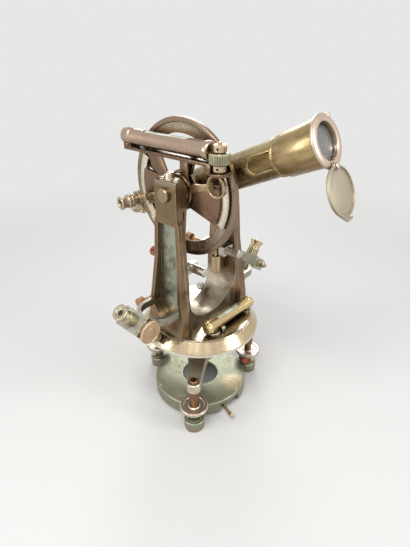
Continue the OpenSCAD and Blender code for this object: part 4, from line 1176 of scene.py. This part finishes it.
class THEODOLITE_OT_head_caps(TheodoliteStep):
    """Models the posts, screws and washers on the heads of the standards"""

    bl_idname = "theodolite.head_caps"
    bl_label = "Head caps"

    def execute(self, context):
        cream = aged_metal("cap_cream", (0.62, 0.54, 0.42), (0.36, 0.27, 0.18), rough=0.32, patch=90)
        low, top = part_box("trunnion_caps")
        base = low.z / MM + 4.5
        centre = (top.x / MM + inner_cap_edge() / MM) / 2
        post = turned("head_post", [(5.4, 0), (5.4, 0.9), (4.6, 1.3), (4.4, 6.4), (3.9, 7.4), (2.4, 7.9)], 56)
        screw = slotted_screw("head_screw", 3.6, 2.6)
        washer = turned("head_washer", [(4.4, -0.2), (4.4, 0.5), (4, 0.7)], 48)
        parts = []
        for hand in (-1, 1):
            for piece, y, high in ((post, 0, 0), (screw, SCREW_Y, 0.6), (washer, SCREW_Y, 0),
                                   (screw, -SCREW_Y, 0.6), (washer, -SCREW_Y, 0)):
                parts.append(copied(piece, shift(hand * centre, y, base + high)))
        discard(post, screw, washer)
        finished(joined("head_fittings", *parts), "alidade", "copper_brass", cream, 0.12, "cap_screws")
        bowl_bolt()
        return {"FINISHED"}


class THEODOLITE_OT_finish_telescope(TheodoliteStep):
    """Gives the telescope, the vertical circle and the altitude level their finishes"""

    bl_idname = "theodolite.finish_telescope"
    bl_label = "Finish the telescope"

    def execute(self, context):
        hidden = aged_metal("under_brass", "aged_brass", "bronze")
        dress(hidden, "telescope_tube", "objective_cell", "objective_cap", "vertical_circle", "index_frame",
              "verniers", "level_tube", "level_carrier", "level_nuts", "magnifier_rear", "magnifier_front",
              "eye_draw_tube", "eyepiece", "objective_lens", "level_vial")
        return {"FINISHED"}


class THEODOLITE_OT_stage(TheodoliteStep):
    """Sets up the floor, the lamps and the camera"""

    bl_idname = "theodolite.stage"
    bl_label = "Stage"

    def execute(self, context):
        sizes = stage_sizes()
        stage_floor(sizes)
        stage_world(sizes)
        stage_lamps(sizes)
        stage_camera(sizes)
        context.scene.view_settings.view_transform = "Standard"
        return {"FINISHED"}


class THEODOLITE_PT_panel(bpy.types.Panel):
    """Lists the steps in order"""

    bl_idname = "THEODOLITE_PT_panel"
    bl_label = "Theodolite"
    bl_space_type = "VIEW_3D"
    bl_region_type = "UI"
    bl_category = "Theodolite"

    def draw(self, context):
        for group in (finishes(), stage_sizes()):
            for key in group.bl_rna.properties.keys():
                if key not in {"rna_type", "name"}:
                    self.layout.prop(group, key)
        for step in STEPS:
            self.layout.operator(step.bl_idname)


STEPS = (
    THEODOLITE_OT_finish_base,
    THEODOLITE_OT_finish_plates,
    THEODOLITE_OT_finish_standards,
    THEODOLITE_OT_finish_telescope,
    THEODOLITE_OT_telescope,
    THEODOLITE_OT_circle,
    THEODOLITE_OT_level,
    THEODOLITE_OT_microscopes,
    THEODOLITE_OT_plate_level,
    THEODOLITE_OT_head_caps,
    THEODOLITE_OT_stage,
)
CLASSES = (FinishColours, StageSizes, *STEPS, THEODOLITE_PT_panel)


def register():
    for entry in CLASSES:
        bpy.utils.register_class(entry)
    bpy.types.Scene.theodolite_finishes = bpy.props.PointerProperty(type=FinishColours)
    bpy.types.Scene.theodolite_stage = bpy.props.PointerProperty(type=StageSizes)


def unregister():
    del bpy.types.Scene.theodolite_finishes
    del bpy.types.Scene.theodolite_stage
    for entry in reversed(CLASSES):
        bpy.utils.unregister_class(entry)


def main():
    register()
    bpy.ops.object.select_all(action="DESELECT")
    for step in STEPS:
        getattr(bpy.ops.theodolite, step.bl_idname.split(".")[1])()


if __name__ == "__main__":
    main()
